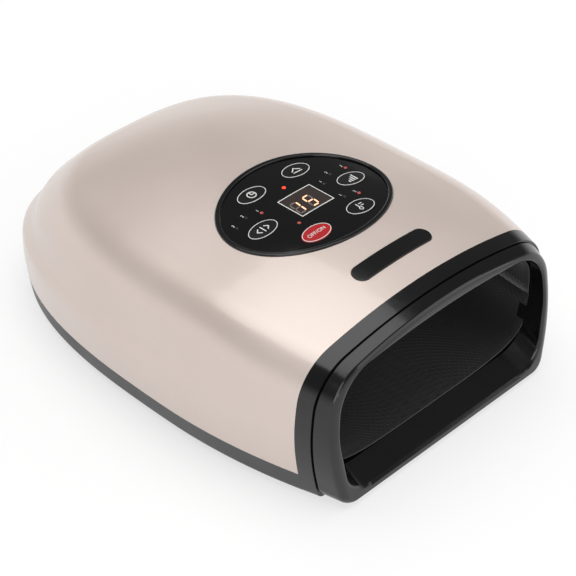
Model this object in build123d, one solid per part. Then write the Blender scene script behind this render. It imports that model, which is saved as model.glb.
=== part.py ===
from build123d import *
import math
import os

# Hand massager: a domed case with an arched mouth at the front for the hand.
# X runs across, the mouth faces -Y, Z is up. Work is done with y = 0 on the
# joint between top cover and front frame; at the end each piece is moved so that
# the origin is the middle of the whole case on the surface that it stands on.

# Case outline in plan
FRONT_HALF = 83.7
WIDE_HALF = 94.9
FAN_Y = 81.5
FAN_LENGTH = 162.0
FAN_POWER = 2.63
FRONT_REACH = 22.0
START_Y = -30.0

# Case heights
FOOT_HEIGHT = 1.6
SEAM_Z = 15.7
CROWN_TOP = 91.8
CROWN_FRONT = 85.6
CROWN_FADE_Y = 62.0
CROWN_RADIUS = 290.0
REAR_DROP = 18.1
REAR_DROP_RUN = 130.0
REAR_DROP_POWER = 3.8
SHOULDER_BASE = 10.6
SHOULDER_DROP = 6.3
SHOULDER_RADIUS = 26.0
SIDE_POWERS = (6.5, 4.8)
REAR_POWERS = (4.67, 2.27)
LEAN_START_SHARES = (0.955, 0.865)
LEAN_STEP_SHARE = 0.004
HALVINGS = 30
LEVEL_LOW = -6.0
LEVEL_HIGH = 98.0
LEVEL_COUNT = 48

# Waist above the lower lobe, and the tuck of the walls towards the base
WAIST_DEPTH = 6.2
WAIST_Z = 42.8
WAIST_RISE = 7.0
WAIST_BAND = 10.0
WAIST_START_Y = 20.0
WAIST_RISE_Y = (40.0, 150.0)
WAIST_SIDE_SHARE = 0.45
TUCK_DEPTH = 3.2
TUCK_TOP_Z = 46.0
TUCK_RUN = 31.0
TUCK_REAR_SHARE = 0.4
BASE_RADIUS = 5.0

# General
WALL = 2.6
OVERRUN = 5.0
FAR = 400.0
SEAT_GAP = 0.3
FACE_GAP = 0.1
SLIDE_GAP = 0.25


def smooth(share):
    share = min(max(share, 0), 1)
    return share * share * (3 - 2 * share)


def half_width(y):
    return FRONT_HALF + (WIDE_HALF - FRONT_HALF) * (1 - ((FAN_Y - y) / FAN_Y) ** 2)


def crown_height(x, y, drop):
    front = (CROWN_TOP - CROWN_FRONT) * (max(CROWN_FADE_Y - y, 0) / CROWN_FADE_Y) ** 2
    rear = REAR_DROP * (max(y - FAN_Y, 0) / REAR_DROP_RUN) ** REAR_DROP_POWER
    return CROWN_TOP - drop - front - rear - x * x / (2 * CROWN_RADIUS)


def shoulder_height(share, blend):
    n = SIDE_POWERS[0] + (REAR_POWERS[0] - SIDE_POWERS[0]) * blend
    m = SIDE_POWERS[1] + (REAR_POWERS[1] - SIDE_POWERS[1]) * blend
    rise = (1 - share**n) ** (1 / m)
    return SHOULDER_BASE + (CROWN_TOP - SHOULDER_BASE) * rise - SHOULDER_DROP * share**2


def reach_share(z, blend):
    """Share of the full reach that the wall keeps at height z; above a limit it leans on in a straight line."""
    limit_share = LEAN_START_SHARES[0] + (LEAN_START_SHARES[1] - LEAN_START_SHARES[0]) * blend
    limit_z = shoulder_height(limit_share, blend)
    if z > limit_z:
        rise = shoulder_height(limit_share - LEAN_STEP_SHARE, blend) - limit_z
        return limit_share - LEAN_STEP_SHARE * (z - limit_z) / rise
    if z <= shoulder_height(1, blend):
        return 1
    low, high = limit_share, 1
    for _ in range(HALVINGS):
        middle = (low + high) / 2
        if shoulder_height(middle, blend) > z:
            low = middle
        else:
            high = middle
    return (low + high) / 2


def waist(z, depth_share, y):
    rise = WAIST_RISE * smooth((WAIST_RISE_Y[1] - y) / (WAIST_RISE_Y[1] - WAIST_RISE_Y[0]))
    return WAIST_DEPTH * depth_share * smooth((z - WAIST_Z - rise) / WAIST_BAND + 0.5)


def tuck(z, blend):
    share = max(TUCK_TOP_Z - z, 0) / TUCK_RUN
    return TUCK_DEPTH * share**2 * (1 - (1 - TUCK_REAR_SHARE) * blend)


def fan_direction(angle):
    """Plan reach across and along at an angle of the rear fan, and how far it is from side to rear, 0 to 1."""
    cosine, sine = math.cos(angle), math.sin(angle)
    unit = (cosine**FAN_POWER + sine**FAN_POWER) ** (-1 / FAN_POWER)
    return WIDE_HALF * unit * cosine, FAN_LENGTH * unit * sine, (unit * sine) ** FAN_POWER


def case_section(z, inset, strip_count=10, fan_count=12):
    """Closed plan outline of the case at height z, with the wall moved in by inset."""
    side = []
    for i in range(strip_count):
        y = START_Y + (FAN_Y - START_Y) * i / strip_count
        depth_share = WAIST_SIDE_SHARE * smooth((y - WAIST_START_Y) / (FAN_Y - WAIST_START_Y))
        x = half_width(y) * reach_share(z, 0) - inset - waist(z, depth_share, y) - tuck(z, 0)
        side.append((x, y))
    for i in range(fan_count + 1):
        across, along, blend = fan_direction(math.pi / 2 * i / fan_count)
        reach = math.hypot(across, along)
        depth_share = WAIST_SIDE_SHARE + (1 - WAIST_SIDE_SHARE) * blend
        loss = inset + waist(z, depth_share, FAN_Y + along) + tuck(z, blend)
        kept = reach * reach_share(z, blend) - loss
        side.append((kept * across / reach, FAN_Y + kept * along / reach))
    side[-1] = (0, side[-1][1])
    points = [(x, y, z) for x, y in side] + [(-x, y, z) for x, y in reversed(side[:-1])]
    return points


def section_wire(points, parameters):
    rim = Edge.make_spline([Vector(*point) for point in points], parameters=parameters)
    return Wire([rim, Edge.make_line(points[-1], points[0])])


def spline_parameters(points):
    lengths = [0]
    for a, b in zip(points, points[1:]):
        lengths.append(lengths[-1] + math.dist(a, b))
    return [length / lengths[-1] for length in lengths]


def crown_face(drop, x_count=12, y_count=16):
    """Top skin of the dome, lowered by drop, wider than the case on every side."""
    x_half = WIDE_HALF + SHOULDER_RADIUS
    y_low, y_high = START_Y - OVERRUN, FAN_Y + FAN_LENGTH + SHOULDER_RADIUS
    grid = []
    for i in range(x_count + 1):
        x = -x_half + 2 * x_half * i / x_count
        ys = [y_low + (y_high - y_low) * j / y_count for j in range(y_count + 1)]
        grid.append([Vector(x, y, crown_height(x, y, drop)) for y in ys])
    return Face.make_surface_from_array_of_points(grid, tol=WALL / 500, min_deg=3, max_deg=5)


def crown_layer(drop, thickness):
    """A layer that follows the crown, from drop below its top skin down by thickness."""
    return Solid.extrude(crown_face(drop), Vector(0, 0, -thickness))


def dome(inset, drop):
    """The case as one body: lofted walls, cut by the crown, with a round shoulder between them."""
    reference = case_section(SEAM_Z, 0)
    parameters = spline_parameters(reference)
    wires = []
    for i in range(LEVEL_COUNT + 1):
        z = LEVEL_LOW + (LEVEL_HIGH - LEVEL_LOW) * i / LEVEL_COUNT
        wires.append(section_wire(case_section(z, inset), parameters))
    body = (Solid.make_loft(wires) & crown_layer(drop, CROWN_TOP * 2)).solids()[0]
    crown_edges = [edge for edge in body.edges() if edge.center().Z > SEAM_Z and edge.length > FAN_LENGTH]
    body = body.fillet(SHOULDER_RADIUS - inset, crown_edges)
    floor_z = FOOT_HEIGHT + inset
    body = (body & slab(-FAR, FAR, floor_z, FAR)).solids()[0]
    low_edges = [edge for edge in body.edges() if edge.center().Z < floor_z + FACE_GAP]
    return body.fillet(BASE_RADIUS - inset, [max(low_edges, key=lambda edge: edge.length)])


def block(x_low, x_high, y_low, y_high, z_low, z_high):
    return Solid.make_box(x_high - x_low, y_high - y_low, z_high - z_low, Plane((x_low, y_low, z_low)))


def slab(y_low, y_high, z_low, z_high):
    return block(-FAR, FAR, y_low, y_high, z_low, z_high)


def post(x, y, z_low, z_high, radius):
    return Solid.make_cylinder(radius, z_high - z_low, Plane((x, y, z_low)))


def rod_x(x_low, x_high, y, z, radius):
    plane = Plane(origin=(x_low, y, z), x_dir=(0, 1, 0), z_dir=(1, 0, 0))
    return Solid.make_cylinder(radius, x_high - x_low, plane)


def rod_y(x, y_low, y_high, z, radius):
    plane = Plane(origin=(x, y_low, z), x_dir=(1, 0, 0), z_dir=(0, 1, 0))
    return Solid.make_cylinder(radius, y_high - y_low, plane)


def plate(outline, corner, z_low, z_high):
    """Flat plate from plan corner points, with every corner rounded."""
    face = make_face(Polyline(*outline, close=True))
    face = fillet(face.vertices(), corner)
    return extrude(Pos(0, 0, z_low) * face, z_high - z_low).solids()[0]


def mirrored(points):
    """Plan outline from the points of its right half, front to rear."""
    return list(points) + [(-x, y) for x, y in reversed(points)]


def oval_prism(x, y, half_x, half_y):
    face = make_face(Ellipse(half_x, half_y).edges())
    return extrude(Pos(x, y, SEAM_Z) * face, CROWN_TOP).solids()[0]


def one(shape):
    """The largest solid of a result."""
    return max(shape.solids(), key=lambda solid: solid.volume)


pieces = {}


def keep(name, *shapes):
    """Store one sub-part under its name, with all its solids."""
    pieces[name] = [solid for shape in shapes for solid in shape.solids()]


outer = dome(0, 0)
inner = dome(WALL, WALL)


# Front frame and mouth bezel: a band that carries on the skin of the case, and a ring with a round nose
FRAME_DEPTH = 7.8
FRAME_WALL = 1.2
GROOVE_WIDTH = 0.7
NECK_DEPTH = 3.4
NECK_WALL = 1.6
BEZEL_STEP = 0.5
BEZEL_TAPER = 0.26
NOSE_RADIUS = 3.4
NOSE_INNER_RADIUS = 1.6
NOSE_TOP_SHARE = 0.65
NOSE_STEPS = 6
FOOT_NOSE_SHARE = 0.5
LIP_POWER = 1.3
RAKE_RISE = 85.0
RAKE_BACK = 7.6
ARCH_HALF = 82.0
ARCH_BASE_HALF = 75.0
ARCH_SHOULDER_HALF = 77.5
ARCH_MIDDLE_Z = 35.8
ARCH_SHOULDER_Z = 72.9
ARCH_TOP_Z = 83.6
ARCH_LOW_RADIUS = 10.0
ARCH_SIDE_RADIUS = 110.0
ARCH_TOP_RADIUS = 26.4
MOUTH_HALF = 72.5
MOUTH_BASE_HALF = 67.0
MOUTH_SHOULDER_HALF = 69.0
MOUTH_MIDDLE_Z = 42.5
MOUTH_SHOULDER_Z = 71.2
MOUTH_TOP_Z = 76.2
MOUTH_FLOOR_Z = 12.6
MOUTH_LIP_DROP = 7.2
MOUTH_LOW_RADIUS = 16.0
MOUTH_SIDE_RADIUS = 50.0
MOUTH_TOP_RADIUS = 22.0
BEZEL_BACK_Y = -FRAME_DEPTH - GROOVE_WIDTH
NECK_BACK_Y = -FRAME_DEPTH + NECK_DEPTH


def upright(y, lean_share):
    """Plane across the mouth at y that leans back towards the top by a share of the full rake."""
    return Plane(origin=(0, y, 0), x_dir=(1, 0, 0), z_dir=(0, -RAKE_RISE, RAKE_BACK * lean_share))


def arched(halves, heights, radii):
    """Arched outline: half widths at base, middle and shoulder, heights of foot, middle, shoulder and top."""
    base_half, half, shoulder_half = halves
    foot_z, middle_z, shoulder_z, top_z = heights
    left_top, right_top = (-shoulder_half, shoulder_z), (shoulder_half, shoulder_z)
    walls = Polyline(
        left_top, (-half, middle_z), (-base_half, foot_z), (base_half, foot_z), (half, middle_z), right_top
    )
    face = make_face([*walls.edges(), *ThreePointArc(left_top, (0, top_z), right_top).edges()])
    for height, radius in zip((foot_z, middle_z, shoulder_z), radii):
        face = fillet([v for v in face.vertices() if abs(v.Y - height) < FACE_GAP], radius)
    return face.faces()[0]


def arch_face(y, lean_share, grow, foot_z):
    """Outside of the bezel at y."""
    halves = (ARCH_BASE_HALF + grow, ARCH_HALF + grow, ARCH_SHOULDER_HALF + grow)
    rise = grow * NOSE_TOP_SHARE
    heights = (foot_z, ARCH_MIDDLE_Z + grow / 2, ARCH_SHOULDER_Z + rise, ARCH_TOP_Z + rise)
    radii = (ARCH_LOW_RADIUS + grow / 2, ARCH_SIDE_RADIUS, ARCH_TOP_RADIUS + grow)
    return upright(y, lean_share) * arched(halves, heights, radii)


def mouth_face(y, lean_share, grow, floor_z, rise_share=1):
    """Outline of the hand opening at y, wider by grow and higher by a share of it."""
    rise = grow * rise_share
    halves = (MOUTH_BASE_HALF + grow, MOUTH_HALF + grow, MOUTH_SHOULDER_HALF + grow)
    heights = (floor_z, MOUTH_MIDDLE_Z, MOUTH_SHOULDER_Z + rise, MOUTH_TOP_Z + rise)
    radii = (MOUTH_LOW_RADIUS, MOUTH_SIDE_RADIUS, MOUTH_TOP_RADIUS + grow)
    return upright(y, lean_share) * arched(halves, heights, radii)


def mouth_prism(y_low, y_high, grow, floor_z):
    """The hand opening as a straight tunnel."""
    return extrude(mouth_face(y_high, 0, grow, floor_z), y_high - y_low).solids()[0]


frame_ring = one(outer & slab(-FRAME_DEPTH, 0, FOOT_HEIGHT, FAR))
frame_passage = mouth_prism(-FRAME_DEPTH - OVERRUN, OVERRUN, FRAME_WALL, MOUTH_FLOOR_Z - FRAME_WALL)
neck_grow = NECK_WALL + SLIDE_GAP
neck_seat = mouth_prism(-FRAME_DEPTH - OVERRUN, NECK_BACK_Y + SLIDE_GAP, neck_grow, MOUTH_FLOOR_Z - neck_grow)
front_frame = one(frame_ring - frame_passage - neck_seat)
keep("front_frame", front_frame)

outer_stations, throat_stations = [], []
bezel_depth = FRONT_REACH + BEZEL_BACK_Y
for i in range(NOSE_STEPS + 2):
    turn = max(i - 1, 0) / NOSE_STEPS * math.pi / 2
    for stations, radius in ((outer_stations, NOSE_RADIUS), (throat_stations, NOSE_INNER_RADIUS)):
        depth = bezel_depth - radius * (1 - math.sin(turn)) if i else 0
        stations.append((-depth + BEZEL_BACK_Y, depth / bezel_depth, radius * (1 - math.cos(turn))))
outer_wires = []
for y, lean, inset in outer_stations:
    loss = BEZEL_STEP + BEZEL_TAPER * (BEZEL_BACK_Y - y) + inset
    outer_wires.append(arch_face(y, lean, -loss, FOOT_HEIGHT + inset * FOOT_NOSE_SHARE).outer_wire())
throat_wires = [mouth_face(OVERRUN, 0, 0, MOUTH_FLOOR_Z).outer_wire()]
throat_wires += [
    mouth_face(y, lean, inset, MOUTH_FLOOR_Z - MOUTH_LIP_DROP * lean**LIP_POWER, NOSE_TOP_SHARE).outer_wire()
    for y, lean, inset in throat_stations
]
run_out_z = MOUTH_FLOOR_Z - MOUTH_LIP_DROP - NOSE_INNER_RADIUS
run_out = mouth_face(-FRONT_REACH - NOSE_RADIUS, 1, NOSE_RADIUS, run_out_z, NOSE_TOP_SHARE)
throat_wires.append(run_out.outer_wire())
bezel_ring = Solid.make_loft(outer_wires, ruled=True)
neck = mouth_prism(BEZEL_BACK_Y - NECK_WALL, NECK_BACK_Y, NECK_WALL, MOUTH_FLOOR_Z - NECK_WALL)
throat = Solid.make_loft(throat_wires, ruled=True)
bezel_ring = one(one(bezel_ring.fuse(neck)) - throat)
keep("mouth_bezel", bezel_ring)

# Top cover, with screw towers, a seat for the control panel and one for the badge
TOWER_RADIUS = 3.8
TOWER_BORE_RADIUS = 1.25
TOWER_BORE_DEPTH = 14.0
CASE_SCREW_PLACES = ((78.5, 46.0), (80.0, 120.0), (57.0, 196.0))
PANEL_Y = 75.0
PANEL_HALF_X = 48.0
PANEL_HALF_Y = 37.2
PANEL_SEAT_DEPTH = 2.4
PANEL_SEAT_WIDTH = 5.0
BADGE_Y = 18.8
BADGE_HALF_SPAN = 20.6
BADGE_RADIUS = 5.0
BADGE_SEAT_DEPTH = 1.4

BOARD_TOP_Z = 80.2
BOARD_SCREW_X = 36.5
BOARD_SCREW_Y = 24.5
BOARD_POST_RADIUS = 2.6
BOARD_SCREW_RADIUS = 1.0
BOARD_SCREW_LENGTH = 5.0

CHASSIS_TOP_Z = 69.4
CHASSIS_POST_PLACES = ((62.5, 24.0), (62.5, 140.0))
CHASSIS_POST_RADIUS = 3.4
CHASSIS_SCREW_RADIUS = 1.25
CHASSIS_SCREW_LENGTH = 6.0

FLOOR_Z = FOOT_HEIGHT + WALL
POWER_BOARD_Z = 8.0
POWER_POST_PLACES = ((-44.0, 203.0), (-44.0, 219.0))
POWER_POST_RADIUS = 2.4


def both_sides(places):
    return [(side * x, y) for x, y in places for side in (-1, 1)]


def pill(y, half_span, radius, z_low, z_high):
    """Long oval prism that runs across."""
    face = make_face(SlotCenterToCenter(2 * half_span, 2 * radius).edges())
    return extrude(Pos(0, y, z_low) * face, z_high - z_low).solids()[0]


def on_crown(prism, drop, thickness):
    """The part of an upright prism that lies in a layer below the crown."""
    return one(prism & crown_layer(drop, thickness))


board_screw_places = [
    (x, PANEL_Y + y) for x, y in both_sides(((BOARD_SCREW_X, BOARD_SCREW_Y), (BOARD_SCREW_X, -BOARD_SCREW_Y)))
]
chassis_places = both_sides(CHASSIS_POST_PLACES)
case_screw_places = both_sides(CASE_SCREW_PLACES)

posts = [post(x, y, 0, FAR, TOWER_RADIUS) for x, y in case_screw_places]
posts += [post(x, y, CHASSIS_TOP_Z, FAR, CHASSIS_POST_RADIUS) for x, y in chassis_places]
posts += [post(x, y, BOARD_TOP_Z, FAR, BOARD_POST_RADIUS) for x, y in board_screw_places]
posts += [post(x, y, 0, POWER_BOARD_Z, POWER_POST_RADIUS) for x, y in POWER_POST_PLACES]
cavity = one(inner.cut(*posts))
shell = one(outer - cavity)
bores = [
    post(x, y, SEAM_Z - OVERRUN, SEAM_Z + TOWER_BORE_DEPTH, TOWER_BORE_RADIUS) for x, y in case_screw_places
]
bores += [
    post(x, y, CHASSIS_TOP_Z - OVERRUN, CHASSIS_TOP_Z + CHASSIS_SCREW_LENGTH, CHASSIS_SCREW_RADIUS)
    for x, y in chassis_places
]
bores += [
    post(x, y, BOARD_TOP_Z - OVERRUN, BOARD_TOP_Z + BOARD_SCREW_LENGTH, BOARD_SCREW_RADIUS)
    for x, y in board_screw_places
]
panel_seat = on_crown(
    oval_prism(0, PANEL_Y, PANEL_HALF_X, PANEL_HALF_Y), -OVERRUN, OVERRUN + PANEL_SEAT_DEPTH
)
panel_hole = oval_prism(0, PANEL_Y, PANEL_HALF_X - PANEL_SEAT_WIDTH, PANEL_HALF_Y - PANEL_SEAT_WIDTH)
badge_hole = pill(BADGE_Y, BADGE_HALF_SPAN, BADGE_RADIUS, SEAM_Z, FAR)
badge_seat = on_crown(badge_hole, -OVERRUN, OVERRUN + BADGE_SEAT_DEPTH)
cover = one(shell & slab(0, FAR, SEAM_Z, FAR))
cover = one(cover.cut(panel_seat, panel_hole, badge_seat, *bores))
keep("top_cover", cover)

# Bottom cover: shallow tray with a tongue inside the top cover and screw sleeves
TONGUE_GAP = 0.15
TONGUE_THICKNESS = 1.4
TONGUE_RISE = 2.4
TONGUE_ROOT = 2.0
SCREW_RADIUS = 1.25
SCREW_CLEARANCE = 0.25
SCREW_HEAD_RADIUS = 2.6
SCREW_HEAD_HEIGHT = 1.8
SCREW_HEAD_SINK = 3.0
SCREW_LENGTH = 24.0
SLOT_LENGTH_SHARE = 0.62
SLOT_WIDTH_SHARE = 0.3
FOOT_PLACES = ((62.0, 18.0), (52.0, 180.0))
FOOT_RADIUS = 6.0
FOOT_RECESS = 0.8
JACK_Z = 9.2
JACK_FLAT_RADIUS = 6.2
JACK_RADIUS = 4.4
JACK_BORE_RADIUS = 3.2
JACK_FLAT_DEPTH = 1.6
JACK_LENGTH = 12.0
JACK_BORE_DEPTH = 4.0
JACK_SOCKET_RADIUS = 2.6
JACK_SOCKET_DEPTH = 9.0
JACK_PIN_RADIUS = 1.0
JACK_PIN_SINK = 4.4
JACK_FIT = 0.1


def seam_prism(inset):
    """Upright prism with the plan outline that the case has at the seam."""
    points = case_section(SEAM_Z, inset)
    face = Face(section_wire(points, spline_parameters(case_section(SEAM_Z, 0))))
    prism = Solid.extrude(face, Vector(0, 0, TONGUE_ROOT + TONGUE_RISE))
    return prism.moved(Location((0, 0, -TONGUE_ROOT)))


tongue_outer = seam_prism(WALL + TONGUE_GAP)
tongue_inner = seam_prism(WALL + TONGUE_GAP + TONGUE_THICKNESS)
tongue = one((tongue_outer - tongue_inner) & slab(TONGUE_THICKNESS, FAR, 0, FAR))
tray = one(one(shell & slab(0, FAR, -OVERRUN, SEAM_Z)).fuse(tongue))
rear_face_y = tray.bounding_box().max.Y
jack_mouth_y = rear_face_y - JACK_FLAT_DEPTH
jack_back_y = jack_mouth_y - JACK_LENGTH
jack_pad = rod_y(0, jack_mouth_y - 2 * WALL, rear_face_y - JACK_FLAT_DEPTH, JACK_Z, JACK_RADIUS + WALL / 2)
tray = one(tray - rod_y(0, jack_mouth_y, rear_face_y + OVERRUN, JACK_Z, JACK_FLAT_RADIUS))
tray = one(tray.fuse(one(jack_pad & outer)))
tray_cuts = [rod_y(0, jack_back_y - OVERRUN, rear_face_y, JACK_Z, JACK_RADIUS + JACK_FIT)]
for x, y in case_screw_places:
    tray_cuts.append(post(x, y, -OVERRUN, FAR, SCREW_RADIUS + SCREW_CLEARANCE))
    tray_cuts.append(post(x, y, -OVERRUN, FOOT_HEIGHT + SCREW_HEAD_SINK, SCREW_HEAD_RADIUS + SCREW_CLEARANCE))
tray_cuts += [post(x, y, -OVERRUN, FOOT_HEIGHT + FOOT_RECESS, FOOT_RADIUS) for x, y in both_sides(FOOT_PLACES)]
tray_cuts += [post(x, y, FLOOR_Z, FAR, SCREW_RADIUS / 2) for x, y in POWER_POST_PLACES]
tray = one(tray.cut(*tray_cuts))
keep("bottom_cover", tray)


def screws(places, head_z, head_height, head_radius, radius, length):
    """Screws that point up, with the underside of the head at head_z and a cross slot in each head."""
    made = []
    for x, y in places:
        long, short = head_radius * SLOT_LENGTH_SHARE, radius * SLOT_WIDTH_SHARE
        slot_z = head_z - head_height / 2
        slots = [
            block(x - long, x + long, y - short, y + short, head_z - FAR, slot_z),
            block(x - short, x + short, y - long, y + long, head_z - FAR, slot_z),
        ]
        head = post(x, y, head_z - head_height, head_z, head_radius)
        low_rim = [edge for edge in head.edges() if abs(edge.center().Z - head_z + head_height) < FACE_GAP]
        head = head.fillet(head_height / 3, low_rim)
        shank = post(x, y, head_z - FACE_GAP, head_z + length, radius)
        made.append(one(one(head.fuse(shank)).cut(*slots)))
    return made


case_screws = screws(
    case_screw_places, FOOT_HEIGHT + SCREW_HEAD_SINK, SCREW_HEAD_HEIGHT, SCREW_HEAD_RADIUS, SCREW_RADIUS,
    SCREW_LENGTH
)
keep("case_screws", *case_screws)

feet = []
for x, y in both_sides(FOOT_PLACES):
    foot = post(x, y, 0, FOOT_HEIGHT + FOOT_RECESS, FOOT_RADIUS - SLIDE_GAP)
    foot_rim = [edge for edge in foot.edges() if abs(edge.center().Z) < FACE_GAP]
    feet.append(foot.fillet(FOOT_HEIGHT / 3, foot_rim))
keep("rubber_feet", *feet)

jack = rod_y(0, jack_back_y, jack_mouth_y, JACK_Z, JACK_RADIUS)
jack_bores = [
    rod_y(0, jack_mouth_y - JACK_BORE_DEPTH, rear_face_y, JACK_Z, JACK_BORE_RADIUS),
    rod_y(0, jack_mouth_y - JACK_SOCKET_DEPTH, rear_face_y, JACK_Z, JACK_SOCKET_RADIUS),
]
jack_pin = rod_y(0, jack_back_y, jack_mouth_y - JACK_PIN_SINK, JACK_Z, JACK_PIN_RADIUS)
keep("dc_inlet", one(one(jack.cut(*jack_bores)).fuse(jack_pin)))

# Control panel: rim, lens and window, set in the top cover
RIM_PROUD = 0.9
RIM_WIDTH = 2.6
RIM_ROUND = 0.7
RIM_FIT = 0.2
LENS_DROP = 0.3
LENS_THICKNESS = 2.0
DISPLAY_Y = 74.3
WINDOW_HALF_X = 10.1
WINDOW_HALF_Y = 7.7
WINDOW_CORNER = 1.2
WINDOW_FIT = 0.1
MODULE_HALF_X = 12.0
MODULE_HALF_Y = 9.2
MODULE_TOP_Z = 88.8
KEY_HALF_X = 8.6
KEY_HALF_Y = 5.35
KEY_DROP = 0.1
KEY_FLANGE = 1.2
KEY_TRAVEL = 0.5
KEY_FLANGE_GAP = 0.05
KEY_STEM_RADIUS = 1.6
KEY_ROUND = 0.3
KEY_PLACES = {
    "timer": (-15.0, 96.0),
    "release": (15.0, 96.0),
    "pressure": (-30.0, 73.1),
    "mode": (30.0, 73.1),
    "power": (-15.0, 52.7),
    "heat": (15.0, 52.7),
}
SWITCH_HALF = 3.0
SWITCH_HEIGHT = 3.4
SWITCH_FLOOR = 0.7
SWITCH_BORE_RADIUS = 1.9
PLUNGER_RADIUS = 1.7
PLUNGER_GAP = 0.1
PLUNGER_RISE = 1.0
LAMP_PLACES = (
    (0.0, 89.1), (-15.3, 63.8), (16.5, 78.1), (25.3, 82.5), (35.9, 82.2),
    (15.5, 63.5), (23.2, 61.3), (-21.6, 82.5), (-29.1, 85.3), (-37.1, 83.2),
)
LAMP_HALF = 0.9
LAMP_HEIGHT = 0.8
PIPE_RADIUS = 0.7
PIPE_FIT = 0.1


def rounded_top(solid, radius, low_z):
    """Rounds the edges of the upper face, which all lie above low_z and run round it."""
    top = max(solid.faces(), key=lambda face: face.center().Z)
    return solid.fillet(radius, [edge for edge in top.edges() if edge.center().Z > low_z])


def window_prism(grow):
    width, depth = 2 * (WINDOW_HALF_X + grow), 2 * (WINDOW_HALF_Y + grow)
    face = make_face(RectangleRounded(width, depth, WINDOW_CORNER).edges())
    return extrude(Pos(0, DISPLAY_Y, SEAM_Z) * face, CROWN_TOP).solids()[0]


rim_prism = oval_prism(0, PANEL_Y, PANEL_HALF_X - RIM_FIT, PANEL_HALF_Y - RIM_FIT)
rim_hole = oval_prism(0, PANEL_Y, PANEL_HALF_X - RIM_WIDTH, PANEL_HALF_Y - RIM_WIDTH)
panel_frame = one(on_crown(rim_prism, -RIM_PROUD, RIM_PROUD + PANEL_SEAT_DEPTH - FACE_GAP) - rim_hole)
keep("panel_frame", rounded_top(panel_frame, RIM_ROUND, SEAM_Z))

lens_prism = oval_prism(0, PANEL_Y, PANEL_HALF_X - RIM_WIDTH - RIM_FIT, PANEL_HALF_Y - RIM_WIDTH - RIM_FIT)
lens_holes = [window_prism(WINDOW_FIT)]
lens_holes += [
    oval_prism(x, y, KEY_HALF_X + SLIDE_GAP, KEY_HALF_Y + SLIDE_GAP) for x, y in KEY_PLACES.values()
]
lens_holes += [post(x, y, SEAM_Z, FAR, PIPE_RADIUS + PIPE_FIT) for x, y in LAMP_PLACES]
keep("panel_lens", one(on_crown(lens_prism, LENS_DROP, LENS_THICKNESS).cut(*lens_holes)))
keep("display_window", on_crown(window_prism(0), LENS_DROP, LENS_THICKNESS))

# Keys, each with the plunger of the switch that it stands on
SWITCH_TOP_Z = BOARD_TOP_Z + SWITCH_HEIGHT
PLUNGER_LOW_Z = BOARD_TOP_Z + SWITCH_FLOOR + KEY_TRAVEL + PLUNGER_GAP
PLUNGER_TOP_Z = SWITCH_TOP_Z + PLUNGER_RISE
FLANGE_DROP = LENS_DROP + LENS_THICKNESS + KEY_FLANGE_GAP

switches = []
for name, (x, y) in KEY_PLACES.items():
    cap = on_crown(oval_prism(x, y, KEY_HALF_X, KEY_HALF_Y), KEY_DROP, FLANGE_DROP + KEY_FLANGE / 2 - KEY_DROP)
    cap = rounded_top(cap, KEY_ROUND, SEAM_Z)
    flange_prism = oval_prism(x, y, KEY_HALF_X + KEY_FLANGE, KEY_HALF_Y + KEY_FLANGE)
    flange = on_crown(flange_prism, FLANGE_DROP, KEY_FLANGE)
    stem = post(x, y, PLUNGER_TOP_Z, crown_height(x, y, FLANGE_DROP + KEY_FLANGE / 2), KEY_STEM_RADIUS)
    keep("key_" + name, one(cap.fuse(flange, stem)))
    keep("plunger_" + name, post(x, y, PLUNGER_LOW_Z, PLUNGER_TOP_Z, PLUNGER_RADIUS))
    can = block(x - SWITCH_HALF, x + SWITCH_HALF, y - SWITCH_HALF, y + SWITCH_HALF, BOARD_TOP_Z, SWITCH_TOP_Z)
    switches.append(one(can - post(x, y, BOARD_TOP_Z + SWITCH_FLOOR, FAR, SWITCH_BORE_RADIUS)))
keep("tact_switches", *switches)

# Board with its lamps, light pipes, display and chips, hung on four screws
BOARD_THICKNESS = 1.6
BOARD_HALF_X = 40.0
BOARD_HALF_Y = 29.0
BOARD_CORNER = 4.0
BOARD_SCREW_HEAD_RADIUS = 2.0
BOARD_SCREW_HEAD_HEIGHT = 1.4
CHIP_HALF = 4.5
CHIP_HEIGHT = 1.4
CHIP_PLACES = ((0.0, 62.0), (22.0, 88.0))

lamps, pipes = [], []
for x, y in LAMP_PLACES:
    lamp_top_z = BOARD_TOP_Z + LAMP_HEIGHT
    lamps.append(block(x - LAMP_HALF, x + LAMP_HALF, y - LAMP_HALF, y + LAMP_HALF, BOARD_TOP_Z, lamp_top_z))
    pipes.append(post(x, y, lamp_top_z, crown_height(x, y, LENS_DROP), PIPE_RADIUS))
keep("indicator_lamps", *lamps)
keep("light_pipes", *pipes)
keep("display_module", block(
    -MODULE_HALF_X, MODULE_HALF_X, DISPLAY_Y - MODULE_HALF_Y, DISPLAY_Y + MODULE_HALF_Y,
    BOARD_TOP_Z, MODULE_TOP_Z
))

board_low_z = BOARD_TOP_Z - BOARD_THICKNESS
board_points = [(BOARD_HALF_X, PANEL_Y - BOARD_HALF_Y), (BOARD_HALF_X, PANEL_Y + BOARD_HALF_Y)]
board = plate(mirrored(board_points), BOARD_CORNER, board_low_z, BOARD_TOP_Z)
board_holes = [post(x, y, SEAM_Z, FAR, BOARD_SCREW_RADIUS + SCREW_CLEARANCE) for x, y in board_screw_places]
keep("control_board", one(board.cut(*board_holes)))
keep("board_chips", *[
    block(x - CHIP_HALF, x + CHIP_HALF, y - CHIP_HALF, y + CHIP_HALF, board_low_z - CHIP_HEIGHT, board_low_z)
    for x, y in CHIP_PLACES
])
keep("control_board_screws", *screws(
    board_screw_places, board_low_z, BOARD_SCREW_HEAD_HEIGHT, BOARD_SCREW_HEAD_RADIUS, BOARD_SCREW_RADIUS,
    BOARD_THICKNESS + BOARD_SCREW_LENGTH - FACE_GAP
))

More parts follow.
